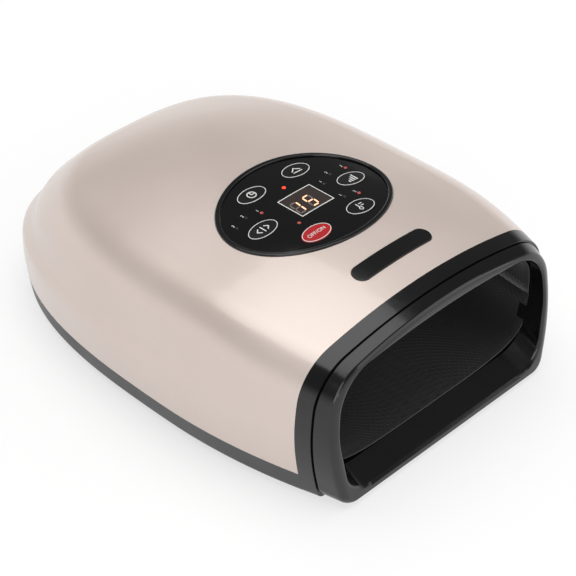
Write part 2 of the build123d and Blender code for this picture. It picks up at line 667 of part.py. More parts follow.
# Plain oval badge plate behind the front frame
BADGE_PROUD = 0.6
badge_prism = pill(BADGE_Y, BADGE_HALF_SPAN, BADGE_RADIUS - RIM_FIT, SEAM_Z, FAR)
badge = on_crown(badge_prism, -BADGE_PROUD, BADGE_PROUD + BADGE_SEAT_DEPTH - FACE_GAP)
keep("badge_plate", rounded_top(badge, BADGE_PROUD / 2, SEAM_Z))

# Upper works: chassis under the cover, with airbag, massage pad and liner roof below it
CHASSIS_THICKNESS = 2.4
CHASSIS_POINTS = ((71.0, 12.0), (75.0, 80.0), (70.0, 150.0), (45.0, 182.0))
CHASSIS_CORNER = 8.0
CHASSIS_RIB_X = 56.0
CHASSIS_RIB_HALF = 0.8
CHASSIS_RIB_HEIGHT = 4.0
CHASSIS_RIB_Y = (34.0, 128.0)
CHASSIS_SCREW_HEAD_RADIUS = 2.6
CHASSIS_SCREW_HEAD_HEIGHT = 1.8
AIRBAG_POINTS = ((56.0, 18.0), (56.0, 150.0))
AIRBAG_CORNER = 20.0
AIRBAG_LOW_Z = 62.3
AIRBAG_ROUND = 1.6
WELD_WIDTH = 2.6
WELD_HALF = 0.4
PAD_TOP_Z = 62.0
PAD_THICKNESS = 3.4
PAD_POINTS = ((60.0, 26.0), (60.0, 152.0))
PAD_CORNER = 18.0
NODULE_COLUMNS = (-42.0, -21.0, 0.0, 21.0, 42.0)
NODULE_ROWS = (44.0, 66.0, 88.0, 110.0, 132.0)
NODULE_RADIUS = 5.0
NODULE_TIP_RADIUS = 2.4
NODULE_TIP_HEIGHT = 2.2
NODULE_LOW_Z = 54.5
ROOF_LOW_Z = 53.0
LINER_WALL = 1.2
ROOF_POINTS = ((62.0, 24.0), (63.0, 90.0), (60.0, 145.0), (46.0, 166.0))
ROOF_CORNER = 8.0
THROAT_HALF = 48.0
FITTING_X = 44.0
FITTING_Y = 132.0
FITTING_RADIUS = 2.2
FITTING_FLANGE_RADIUS = 3.4
FITTING_FLANGE_HEIGHT = 1.2
FITTING_BODY_RADIUS = 3.2
FITTING_BODY_TOP_Z = 74.6
HOSE_RADIUS = 2.5
HOSE_BORE = 1.6
NIPPLE_RADIUS = 1.55
NIPPLE_BORE = 0.8
NIPPLE_LENGTH = 7.0
CROSSING_Z = 72.2
HOLE_FIT = 0.2

chassis_low_z = CHASSIS_TOP_Z - CHASSIS_THICKNESS
chassis = plate(mirrored(CHASSIS_POINTS), CHASSIS_CORNER, chassis_low_z, CHASSIS_TOP_Z)
rib_top_z = CHASSIS_TOP_Z + CHASSIS_RIB_HEIGHT
ribs = [
    block(x - CHASSIS_RIB_HALF, x + CHASSIS_RIB_HALF, *CHASSIS_RIB_Y, chassis_low_z, rib_top_z)
    for x in (-CHASSIS_RIB_X, CHASSIS_RIB_X)
]
chassis = one(chassis.fuse(*ribs))
chassis_holes = [post(x, y, SEAM_Z, FAR, CHASSIS_SCREW_RADIUS + SCREW_CLEARANCE) for x, y in chassis_places]
chassis_holes.append(post(FITTING_X, FITTING_Y, SEAM_Z, FAR, FITTING_RADIUS + HOLE_FIT))
keep("upper_chassis", one(chassis.cut(*chassis_holes)))
keep("chassis_screws", *screws(
    chassis_places, chassis_low_z, CHASSIS_SCREW_HEAD_HEIGHT, CHASSIS_SCREW_HEAD_RADIUS, CHASSIS_SCREW_RADIUS,
    CHASSIS_THICKNESS + CHASSIS_SCREW_LENGTH - FACE_GAP
))

airbag_top_z = chassis_low_z - FACE_GAP
airbag = plate(mirrored(AIRBAG_POINTS), AIRBAG_CORNER, AIRBAG_LOW_Z, airbag_top_z)
weld_z = (AIRBAG_LOW_Z + airbag_top_z) / 2
flat_rims = [edge for edge in airbag.edges() if abs(edge.center().Z - weld_z) > AIRBAG_ROUND]
airbag = airbag.fillet(AIRBAG_ROUND, flat_rims)
weld_points = [(x + WELD_WIDTH, y + side * WELD_WIDTH) for (x, y), side in zip(AIRBAG_POINTS, (-1, 1))]
weld = plate(mirrored(weld_points), AIRBAG_CORNER + WELD_WIDTH, weld_z - WELD_HALF, weld_z + WELD_HALF)
keep("upper_airbag", one(airbag.fuse(weld)))

fitting = [
    post(FITTING_X, FITTING_Y, airbag_top_z + FACE_GAP, CROSSING_Z, FITTING_RADIUS),
    post(FITTING_X, FITTING_Y, CHASSIS_TOP_Z, CHASSIS_TOP_Z + FITTING_FLANGE_HEIGHT, FITTING_FLANGE_RADIUS),
    post(FITTING_X, FITTING_Y, CHASSIS_TOP_Z, FITTING_BODY_TOP_Z, FITTING_BODY_RADIUS),
    rod_y(FITTING_X, FITTING_Y, FITTING_Y + FITTING_BODY_RADIUS + NIPPLE_LENGTH, CROSSING_Z, NIPPLE_RADIUS),
]
fitting_bores = [
    post(FITTING_X, FITTING_Y, SEAM_Z, CROSSING_Z, NIPPLE_BORE),
    rod_y(FITTING_X, FITTING_Y, FAR, CROSSING_Z, NIPPLE_BORE),
]
keep("airbag_fitting", one(one(fitting[0].fuse(*fitting[1:])).cut(*fitting_bores)))

pad_low_z = PAD_TOP_Z - PAD_THICKNESS
pad = plate(mirrored(PAD_POINTS), PAD_CORNER, pad_low_z, PAD_TOP_Z)
tip_top_z, root_z = NODULE_LOW_Z + NODULE_TIP_HEIGHT, pad_low_z + PAD_THICKNESS / 2
nodules = []
for x in NODULE_COLUMNS:
    for y in NODULE_ROWS:
        tip_plane = Plane((x, y, NODULE_LOW_Z))
        nodules.append(Solid.make_cone(NODULE_TIP_RADIUS, NODULE_RADIUS, NODULE_TIP_HEIGHT, tip_plane))
        nodules.append(post(x, y, tip_top_z, root_z, NODULE_RADIUS))
keep("upper_massage_pad", one(pad.fuse(*nodules)))
keep("liner_roof", plate(mirrored(ROOF_POINTS), ROOF_CORNER, ROOF_LOW_Z, ROOF_LOW_Z + LINER_WALL))

# Liner: tub that follows the mouth, and the slope that leads from the mouth to the roof
SLEEVE_GAP = 0.7
SLEEVE_FLOOR_Z = 12.9
SLEEVE_TOP_Z = 62.0
SLEEVE_START_Y = -9.5
SLEEVE_POINTS = ((76.0, -40.0), (76.0, 130.0), (58.0, 178.0))
SLEEVE_CORNER = 30.0
THROAT_FRONT_Y = -6.0
THROAT_REAR_Y = 23.6
THROAT_TOP_Z = 72.4
THROAT_BEND_Y = (3.0, 13.0)
THROAT_BEND_Z = (69.0, 57.5)

sleeve_outline = mirrored(SLEEVE_POINTS)
sleeve_inner_outline = mirrored([(x - LINER_WALL, y - LINER_WALL) for x, y in SLEEVE_POINTS])
sleeve_end_y = SLEEVE_POINTS[-1][1]
sleeve_outer = mouth_prism(SLEEVE_START_Y, sleeve_end_y + OVERRUN, -SLEEVE_GAP, SLEEVE_FLOOR_Z)
sleeve_outer = one(sleeve_outer & plate(sleeve_outline, SLEEVE_CORNER, 0, SLEEVE_TOP_Z))
sleeve_inner = mouth_prism(
    SLEEVE_START_Y - OVERRUN, sleeve_end_y + OVERRUN, -SLEEVE_GAP - LINER_WALL, SLEEVE_FLOOR_Z + LINER_WALL
)
sleeve_inner = one(sleeve_inner & plate(sleeve_inner_outline, SLEEVE_CORNER - LINER_WALL, 0, FAR))
keep("liner_sleeve", one(sleeve_outer - sleeve_inner))

slope_points = [
    (THROAT_FRONT_Y, THROAT_TOP_Z), (THROAT_BEND_Y[0], THROAT_BEND_Z[0]),
    (THROAT_BEND_Y[1], THROAT_BEND_Z[1]), (THROAT_REAR_Y, ROOF_LOW_Z + LINER_WALL),
]
lower_slope = [(y - LINER_WALL / 2, z - LINER_WALL) for y, z in reversed(slope_points)]
throat_face = make_face(Polyline(*slope_points, *lower_slope, close=True))
throat_plane = Plane(origin=(-THROAT_HALF, 0, 0), x_dir=(0, 1, 0), z_dir=(1, 0, 0))
keep("liner_throat", extrude(throat_plane * throat_face, 2 * THROAT_HALF))

# Lower works: warm massage plate on the tray floor
LOWER_PLATE_POINTS = ((60.0, 5.0), (60.0, 165.0))
LOWER_PLATE_CORNER = 20.0
LOWER_PLATE_LOW_Z = 9.0
LOWER_PLATE_TOP_Z = 12.6
LOWER_LEG_PLACES = ((48.0, 26.0), (48.0, 145.0))
LOWER_LEG_RADIUS = 5.0
FILM_MARGIN = 8.0
FILM_THICKNESS = 0.25
FILM_SLOT_HALF = 1.0
FILM_SLOT_STEP = 24.0
CUTOUT_HALF_X = 6.0
CUTOUT_HALF_Y = 3.0
CUTOUT_HEIGHT = 3.0
CUTOUT_Y = 60.0

legs = [post(x, y, FLOOR_Z, LOWER_PLATE_TOP_Z, LOWER_LEG_RADIUS) for x, y in both_sides(LOWER_LEG_PLACES)]
lower_plate = plate(mirrored(LOWER_PLATE_POINTS), LOWER_PLATE_CORNER, LOWER_PLATE_LOW_Z, LOWER_PLATE_TOP_Z)
keep("lower_massage_plate", one(lower_plate.fuse(*legs)))
film_points = [(x - FILM_MARGIN, y + side * FILM_MARGIN) for (x, y), side in zip(LOWER_PLATE_POINTS, (1, -1))]
film_corner, film_top_z = LOWER_PLATE_CORNER - FILM_MARGIN, LOWER_PLATE_TOP_Z + FILM_THICKNESS
film = plate(mirrored(film_points), film_corner, LOWER_PLATE_TOP_Z, film_top_z)
film_slots = []
slot_y, slot_side = film_points[0][1] + FILM_SLOT_STEP, 1
while slot_y < film_points[1][1] - FILM_SLOT_STEP / 2:
    slot_start = -FAR if slot_side < 0 else -film_points[0][0] + FILM_SLOT_STEP
    slot_stop = FAR if slot_side > 0 else film_points[0][0] - FILM_SLOT_STEP
    film_slots.append(block(slot_start, slot_stop, slot_y - FILM_SLOT_HALF, slot_y + FILM_SLOT_HALF, 0, FAR))
    slot_y, slot_side = slot_y + FILM_SLOT_STEP, -slot_side
keep("heating_film", one(film.cut(*film_slots)))
keep("thermal_cutout", block(
    -CUTOUT_HALF_X, CUTOUT_HALF_X, CUTOUT_Y - CUTOUT_HALF_Y, CUTOUT_Y + CUTOUT_HALF_Y,
    LOWER_PLATE_LOW_Z - CUTOUT_HEIGHT, LOWER_PLATE_LOW_Z
))

# Air pump behind the hand space: motor, head with a cavity, rotor with an eccentric
PUMP_Y = 207.0
PUMP_Z = 22.0
MOTOR_RADIUS = 13.0
MOTOR_X = (-34.0, -5.0)
MOTOR_ROUND = 1.5
BOSS_RADIUS = 4.5
BOSS_END_X = -1.5
SHAFT_RADIUS = 1.2
SHAFT_FIT = 0.05
SHAFT_X = (-13.5, 14.0)
SHAFT_SOCKET_X = -14.0
HEAD_X = (-4.5, 24.0)
HEAD_HALF_Y = 11.5
HEAD_WALL = 2.5
HEAD_CAVITY_RADIUS = 9.0
ECCENTRIC_X = (4.0, 12.0)
ECCENTRIC_RADIUS = 5.0
ECCENTRIC_OFFSET = 1.8
PUMP_NIPPLE_X = 10.0
BRACKET_X = (-32.0, 22.0)
BRACKET_HALF_Y = 10.0
BRACKET_THICKNESS = 2.0
SADDLE_X = ((-31.0, -25.0), (-15.0, -9.0))
HEAD_PAD_X = (0.0, 20.0)
GROMMET_RADIUS = 3.2
GROMMET_BORE = 1.2
GROMMET_HEIGHT = 2.0
GROMMET_PLACES = ((-28.0, -7.0), (-28.0, 7.0), (18.0, -7.0), (18.0, 7.0))

can = rod_x(*MOTOR_X, PUMP_Y, PUMP_Z, MOTOR_RADIUS)
can = can.fillet(MOTOR_ROUND, [edge for edge in can.edges() if edge.geom_type == GeomType.CIRCLE])
can = one(can.fuse(rod_x(MOTOR_X[1] - OVERRUN, BOSS_END_X, PUMP_Y, PUMP_Z, BOSS_RADIUS)))
keep("pump_motor", one(can - rod_x(SHAFT_SOCKET_X, FAR, PUMP_Y, PUMP_Z, SHAFT_RADIUS + SHAFT_FIT)))

head_low_z, head_top_z = PUMP_Z - MOTOR_RADIUS, PUMP_Z + MOTOR_RADIUS
head = block(*HEAD_X, PUMP_Y - HEAD_HALF_Y, PUMP_Y + HEAD_HALF_Y, head_low_z, head_top_z)
head = head.fillet(HEAD_WALL / 2, [edge for edge in head.edges() if abs(edge.tangent_at(0).X) > 0.9])
nipple_low_z, nipple_top_z = head_top_z - HEAD_WALL / 2, head_top_z + NIPPLE_LENGTH
pump_nipple = post(PUMP_NIPPLE_X, PUMP_Y, nipple_low_z, nipple_top_z, NIPPLE_RADIUS)
head_cuts = [
    rod_x(HEAD_X[0] + HEAD_WALL, HEAD_X[1] - HEAD_WALL, PUMP_Y, PUMP_Z, HEAD_CAVITY_RADIUS),
    rod_x(HEAD_X[0] - OVERRUN, HEAD_X[0] + HEAD_WALL + FACE_GAP, PUMP_Y, PUMP_Z, BOSS_RADIUS + HOLE_FIT),
    post(PUMP_NIPPLE_X, PUMP_Y, PUMP_Z, FAR, NIPPLE_BORE),
]
keep("pump_head", one(one(head.fuse(pump_nipple)).cut(*head_cuts)))
rotor = rod_x(*SHAFT_X, PUMP_Y, PUMP_Z, SHAFT_RADIUS)
keep("pump_rotor", one(rotor.fuse(rod_x(*ECCENTRIC_X, PUMP_Y, PUMP_Z + ECCENTRIC_OFFSET, ECCENTRIC_RADIUS))))

bracket_low_z = FLOOR_Z + GROMMET_HEIGHT
bracket_top_z = bracket_low_z + BRACKET_THICKNESS
bracket = block(*BRACKET_X, PUMP_Y - BRACKET_HALF_Y, PUMP_Y + BRACKET_HALF_Y, bracket_low_z, bracket_top_z)
saddles = [
    block(*ends, PUMP_Y - BRACKET_HALF_Y, PUMP_Y + BRACKET_HALF_Y, bracket_low_z, PUMP_Z - MOTOR_RADIUS / 3)
    for ends in SADDLE_X
]
head_pad = block(*HEAD_PAD_X, PUMP_Y - HEAD_HALF_Y / 2, PUMP_Y + HEAD_HALF_Y / 2, bracket_low_z, head_low_z)
bracket = one(bracket.fuse(*saddles, head_pad))
motor_seat = rod_x(MOTOR_X[0] - OVERRUN, MOTOR_X[1] + OVERRUN, PUMP_Y, PUMP_Z, MOTOR_RADIUS + FACE_GAP)
keep("pump_bracket", one(bracket - motor_seat))
keep("pump_grommets", *[
    one(
        post(x, PUMP_Y + y, FLOOR_Z, bracket_low_z, GROMMET_RADIUS)
        - post(x, PUMP_Y + y, 0, FAR, GROMMET_BORE)
    )
    for x, y in GROMMET_PLACES
])

# Air valves on the manifold, each with a sprung plunger
VALVE_PLACES = {"inflate": 33.5, "vent": 46.5}
VALVE_Y = 200.0
VALVE_HALF = 5.4
VALVE_TOP_Z = 26.0
VALVE_BORE_Z = (7.0, 24.0)
VALVE_BORE_RADIUS = 3.1
CORE_RADIUS = 3.04
CORE_Z = (7.1, 17.9)
CORE_TRAVEL = 1.2
COIL_RADIUS = 2.1
COIL_WIRE = 0.35
COIL_TURNS = 3
MANIFOLD_X = (20.0, 51.9)
MANIFOLD_Y = (186.2, 194.5)
MANIFOLD_TOP_Z = 13.0
MANIFOLD_BORE = 1.2
MANIFOLD_BORE_Z = 8.6
MANIFOLD_NIPPLE_X = (24.0, 44.0)
PORT_Y = 190.0

coil_low_z, coil_top_z = CORE_Z[1] + COIL_WIRE + FACE_GAP / 2, VALVE_BORE_Z[1] - COIL_WIRE - FACE_GAP / 2
coil_height = coil_top_z - coil_low_z
coil_path = Helix(coil_height / COIL_TURNS, coil_height, COIL_RADIUS)
coil_start = Plane(origin=coil_path @ 0, z_dir=coil_path % 0)
coil = sweep(coil_start * Rectangle(2 * COIL_WIRE, 2 * COIL_WIRE), path=coil_path).solids()[0]
for name, x in VALVE_PLACES.items():
    y_low, y_high = VALVE_Y - VALVE_HALF, VALVE_Y + VALVE_HALF
    body = block(x - VALVE_HALF, x + VALVE_HALF, y_low, y_high, FLOOR_Z, VALVE_TOP_Z)
    body = one(body - post(x, VALVE_Y, *VALVE_BORE_Z, VALVE_BORE_RADIUS))
    keep("valve_" + name, body)
    keep("valve_core_" + name, post(x, VALVE_Y, *CORE_Z, CORE_RADIUS))
    keep("valve_spring_" + name, coil.moved(Location((x, VALVE_Y, coil_low_z))))

manifold = block(*MANIFOLD_X, *MANIFOLD_Y, FLOOR_Z, MANIFOLD_TOP_Z)
manifold_nipples = [
    post(x, PORT_Y, MANIFOLD_TOP_Z - FACE_GAP, MANIFOLD_TOP_Z + NIPPLE_LENGTH, NIPPLE_RADIUS)
    for x in MANIFOLD_NIPPLE_X
]
gallery_x = (MANIFOLD_NIPPLE_X[0] - MANIFOLD_BORE, MANIFOLD_NIPPLE_X[1] + MANIFOLD_BORE)
manifold_bores = [rod_x(*gallery_x, PORT_Y, MANIFOLD_BORE_Z, MANIFOLD_BORE)]
manifold_bores += [post(x, PORT_Y, MANIFOLD_BORE_Z, FAR, NIPPLE_BORE) for x in MANIFOLD_NIPPLE_X]
keep("air_manifold", one(one(manifold.fuse(*manifold_nipples)).cut(*manifold_bores)))

# Hoses over the nipples, and the two cables
HOSE_LIFT = 0.3
HOSE_PEAK_Z = 48.0
HOSE_BEND = 7.0
CABLE_RADIUS = 1.3
CABLE_BEND = 6.0
CABLE_Z = 11.2
CABLE_X = -48.5
CABLE_RUN_Z = 71.4
CABLE_TURN_Y = 116.0
CABLE_END = (-26.0, 98.0)
FEED_Y = 223.8
FEED_X = -40.2
FEED_END_Y = 216.2
FEED_BEND = 2.2


def tube(points, bends, radius):
    """Round bar along straight runs that are joined by tangent arcs."""
    path = FilletPolyline(*points, radius=bends)
    profile = Plane(origin=path @ 0, z_dir=path % 0) * Circle(radius)
    return sweep(profile, path=path).solids()[0]


pump_port_z, manifold_port_z = head_top_z + HOSE_LIFT, MANIFOLD_TOP_Z + HOSE_LIFT
pump_route = [
    (PUMP_NIPPLE_X, PUMP_Y, pump_port_z), (PUMP_NIPPLE_X, PUMP_Y, HOSE_PEAK_Z),
    (MANIFOLD_NIPPLE_X[0], PORT_Y, HOSE_PEAK_Z), (MANIFOLD_NIPPLE_X[0], PORT_Y, manifold_port_z),
]
airbag_route = [
    (MANIFOLD_NIPPLE_X[1], PORT_Y, manifold_port_z), (MANIFOLD_NIPPLE_X[1], PORT_Y, CROSSING_Z),
    (FITTING_X, FITTING_Y + FITTING_BODY_RADIUS + HOSE_LIFT, CROSSING_Z),
]
for name, route in (("hose_pump", pump_route), ("hose_airbag", airbag_route)):
    bends = [HOSE_BEND] * (len(route) - 2)
    keep(name, one(tube(route, bends, HOSE_RADIUS) - tube(route, bends, HOSE_BORE)))

cable_route = [
    (CABLE_X, PUMP_Y, CABLE_Z), (CABLE_X, PORT_Y, CABLE_Z), (CABLE_X, PORT_Y, CABLE_RUN_Z),
    (CABLE_X, CABLE_TURN_Y, CABLE_RUN_Z), (*CABLE_END, CABLE_RUN_Z), (*CABLE_END, board_low_z - FACE_GAP),
]
cable_bends = [CABLE_BEND] * (len(cable_route) - 3) + [CABLE_BEND / 2]
keep("cable_control", tube(cable_route, cable_bends, CABLE_RADIUS))
feed_route = [
    (0, jack_back_y - FACE_GAP, JACK_Z), (0, FEED_Y, JACK_Z),
    (FEED_X, FEED_Y, CABLE_Z), (FEED_X, FEED_END_Y, CABLE_Z),
]
keep("cable_power", tube(feed_route, [FEED_BEND] * (len(feed_route) - 2), CABLE_RADIUS))

# Power board on its two posts
POWER_BOARD_POINTS = ((-51.0, 200.0), (-37.0, 200.0), (-37.0, 222.0), (-51.0, 222.0))
POWER_BOARD_CORNER = 1.5
COMPONENT_TOP_Z = 15.0
CAPACITOR_RADIUS = 2.4
CAPACITOR_PLACE = (-48.0, 217.0)
POWER_SCREW_HEAD_RADIUS = 1.6
POWER_SCREW_HEAD_HEIGHT = 1.1
POWER_SCREW_RADIUS = 0.6
POWER_SCREW_LENGTH = 3.6

power_board_top_z = POWER_BOARD_Z + BOARD_THICKNESS
power_board = plate(POWER_BOARD_POINTS, POWER_BOARD_CORNER, POWER_BOARD_Z, power_board_top_z)
power_holes = [post(x, y, 0, FAR, POWER_SCREW_RADIUS + HOLE_FIT / 2) for x, y in POWER_POST_PLACES]
power_board = one(power_board.cut(*power_holes))
capacitor = post(*CAPACITOR_PLACE, power_board_top_z - FACE_GAP, COMPONENT_TOP_Z, CAPACITOR_RADIUS)
keep("power_board", one(power_board.fuse(capacitor)))
screw_up = screws(
    [(0, 0)], 0, POWER_SCREW_HEAD_HEIGHT, POWER_SCREW_HEAD_RADIUS, POWER_SCREW_RADIUS, POWER_SCREW_LENGTH
)[0]
screw_down = screw_up.rotate(Axis.X, 180)
power_screws = [screw_down.moved(Location((x, y, power_board_top_z))) for x, y in POWER_POST_PLACES]
keep("power_board_screws", *power_screws)

# Every piece moves to the shared origin and goes to its own file
os.makedirs("parts", exist_ok=True)
front_y = min(solid.bounding_box().min.Y for solid in pieces["mouth_bezel"])
shift = Location((0, -(front_y + rear_face_y) / 2, 0))
for name, solids in pieces.items():
    moved = [solid.moved(shift) for solid in solids]
    export_step(moved[0] if len(moved) == 1 else Compound(moved), f"parts/{name}.step")
print("move along y", shift.position.Y, "bends", HOSE_BEND, CABLE_BEND, FEED_BEND)
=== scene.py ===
"""Hand massager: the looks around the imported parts. Lengths are metres, in the frame of the parts."""

import logging
import math
from collections.abc import Iterator
from contextlib import contextmanager
from dataclasses import dataclass
from enum import Enum

import bpy
from mathutils import Matrix, Vector
from mathutils.bvhtree import BVHTree


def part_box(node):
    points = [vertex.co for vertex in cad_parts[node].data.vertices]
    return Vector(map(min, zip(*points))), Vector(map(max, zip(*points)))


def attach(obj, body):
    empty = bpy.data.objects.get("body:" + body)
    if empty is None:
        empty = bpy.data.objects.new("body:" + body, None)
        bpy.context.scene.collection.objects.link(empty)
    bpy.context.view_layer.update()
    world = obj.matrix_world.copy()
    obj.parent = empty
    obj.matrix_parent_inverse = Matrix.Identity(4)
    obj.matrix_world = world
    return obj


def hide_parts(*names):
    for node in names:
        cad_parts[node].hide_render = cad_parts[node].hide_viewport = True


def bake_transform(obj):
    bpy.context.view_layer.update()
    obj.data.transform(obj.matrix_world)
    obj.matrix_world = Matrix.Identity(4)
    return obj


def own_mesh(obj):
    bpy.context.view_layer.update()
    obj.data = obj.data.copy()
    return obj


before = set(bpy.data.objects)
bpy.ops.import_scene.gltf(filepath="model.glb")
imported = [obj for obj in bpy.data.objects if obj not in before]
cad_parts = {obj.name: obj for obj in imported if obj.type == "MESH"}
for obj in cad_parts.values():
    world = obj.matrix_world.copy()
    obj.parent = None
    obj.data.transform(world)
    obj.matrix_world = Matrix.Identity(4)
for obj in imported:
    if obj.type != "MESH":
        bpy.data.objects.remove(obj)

Material, Piece = bpy.types.Material, bpy.types.Object
Tree, Node, Socket = bpy.types.NodeTree, bpy.types.Node, bpy.types.NodeSocket
Pair = tuple[float, float]
Point = tuple[float, float, float]

LOG = logging.getLogger("hand_massager")
MM = 0.001
SHIFT_Y = -0.1100847  # from the joint of cover and front frame to the middle of the case
NOISE_SPAN: Pair = (0.3, 0.7)  # a noise seldom leaves these values
TINT_SPAN: Pair = (0.35, 0.95)  # sums of slow and fine noise that give the shade and the full colour
GRAIN_DETAIL = 3.0
CLOUD_DETAIL = 2.0
QUARTER = math.pi / 2
CHAMBERS = 3  # parts that the two channels divide the air bladder into
WHITE = (1.0, 1.0, 1.0, 1.0)


def linear(code: str) -> tuple[float, float, float, float]:
    """Turns a colour code, "#RRGGBB" in sRGB, into linear light for a node socket."""
    parts = [int(code[i : i + 2], 16) / 255 for i in (1, 3, 5)]
    return (*(part / 12.92 if part <= 0.04045 else ((part + 0.055) / 1.055) ** 2.4 for part in parts), 1.0)


def mix(ends: Pair, share: float) -> float:
    """Returns the value at a share of the way between two ends."""
    return ends[0] + (ends[1] - ends[0]) * share


def new_material(name: str) -> tuple[Material, Tree, Node]:
    """Makes an empty material.

    Args:
        name: what the surface really is.

    Returns:
        The material, its node tree and its shader.
    """
    material = bpy.data.materials.new(name)
    material.use_nodes = True
    return material, material.node_tree, material.node_tree.nodes["Principled BSDF"]


def feed(tree: Tree, node: Node, inputs: dict[int | str, object]) -> None:
    """Fills the inputs of a node.

    Args:
        tree: node tree of the node.
        node: node to fill.
        inputs: input socket to a fixed value, to an output, or to a node whose first output feeds it.
    """
    for name, value in inputs.items():
        source = value.outputs[0] if isinstance(value, Node) else value
        if isinstance(source, Socket):
            tree.links.new(source, node.inputs[name])
        else:
            node.inputs[name].default_value = value


def add_node(tree: Tree, kind: str, inputs: dict[int | str, object], **settings: object) -> Node:
    """Adds one shader node.

    Args:
        tree: node tree that receives the node.
        kind: the node's type name after its prefix, ShaderNode.
        inputs: what each input socket takes, as for feed.
        **settings: the node's own properties.

    Returns:
        The new node.
    """
    node = tree.nodes.new("ShaderNode" + kind)
    for name, setting in settings.items():
        setattr(node, name, setting)
    feed(tree, node, inputs)
    return node


@dataclass(frozen=True)
class Finish:
    """A moulded, cast or coated surface: one colour that varies a little, over a fine grain.

    Attributes:
        name: what the surface really is.
        colour: its colour as seen, as a hex code.
        shade: the darker colour that it drifts to.
        roughness: from 0, polished, to 1, chalky.
        metallic: 1 for bare metal, less for paint with flakes.
        coat: weight of a clear layer on top.
        coat_roughness: roughness of that layer.
        grain_mm: size of the grain that shows.
        grain_depth: strength of its relief, from 0 to 1.
        grain_height: height of that relief, as a share of the grain's size.
        cloud_mm: size of the slow drift in colour and gloss.
        drift: share by which the roughness drifts up and down.
        flicker: share of the grain in the drift of colour.
        stretch: factors of the grain along X, Y and Z, for a brushed or drawn surface.
        glow: strength of the light that it gives off.
    """

    name: str
    colour: str
    shade: str
    roughness: float = 0.5
    metallic: float = 0.0
    coat: float = 0.0
    coat_roughness: float = 0.1
    grain_mm: float = 0.8
    grain_depth: float = 0.08
    grain_height: float = 0.25
    cloud_mm: float = 30.0
    drift: float = 0.12
    flicker: float = 0.35
    stretch: Point = (1.0, 1.0, 1.0)
    glow: float = 0.0

    def material(self) -> Material:
        """Builds the surface as nodes.

        Returns:
            The material.
        """
        material, tree, shader = new_material(self.name)
        place = add_node(tree, "TexCoord", {}).outputs["Object"]
        mapped = add_node(tree, "Mapping", {"Vector": place, "Scale": self.stretch})
        grain = add_node(
            tree, "TexNoise", {"Vector": mapped, "Scale": 1 / (self.grain_mm * MM), "Detail": GRAIN_DETAIL}
        )
        cloud = add_node(
            tree, "TexNoise", {"Vector": place, "Scale": 1 / (self.cloud_mm * MM), "Detail": CLOUD_DETAIL}
        )
        gloss = add_node(tree, "MapRange", {
            "Value": cloud, "From Min": NOISE_SPAN[0], "From Max": NOISE_SPAN[1],
            "To Min": self.roughness * (1 - self.drift), "To Max": self.roughness * (1 + self.drift),
        })
        relief = add_node(tree, "Bump", {
            "Height": grain, "Strength": self.grain_depth,
            "Distance": self.grain_mm * MM * self.grain_height,
        })
        feed(tree, shader, {
            "Base Color": self.tint(tree, cloud, grain), "Roughness": gloss, "Normal": relief,
            "Metallic": self.metallic, "Coat Weight": self.coat, "Coat Roughness": self.coat_roughness,
        })
        if self.glow:
            feed(tree, shader, {"Emission Color": linear(self.colour), "Emission Strength": self.glow})
        return material

    def tint(self, tree: Tree, cloud: Node, grain: Node) -> Node:
        """Mixes the two colours: they drift slowly and flicker with the grain.

        Args:
            tree: node tree of the material.
            cloud: slow noise.
            grain: fine noise.

        Returns:
            The node that gives the colour.
        """
        fine = add_node(tree, "Math", {0: grain, 1: self.flicker}, operation="MULTIPLY")
        total = add_node(tree, "Math", {0: cloud, 1: fine}, operation="ADD")
        ramp = add_node(tree, "ValToRGB", {"Fac": total})
        for stop, position, colour in zip(ramp.color_ramp.elements, TINT_SPAN, (self.shade, self.colour)):
            stop.position, stop.color = position, linear(colour)
        return ramp


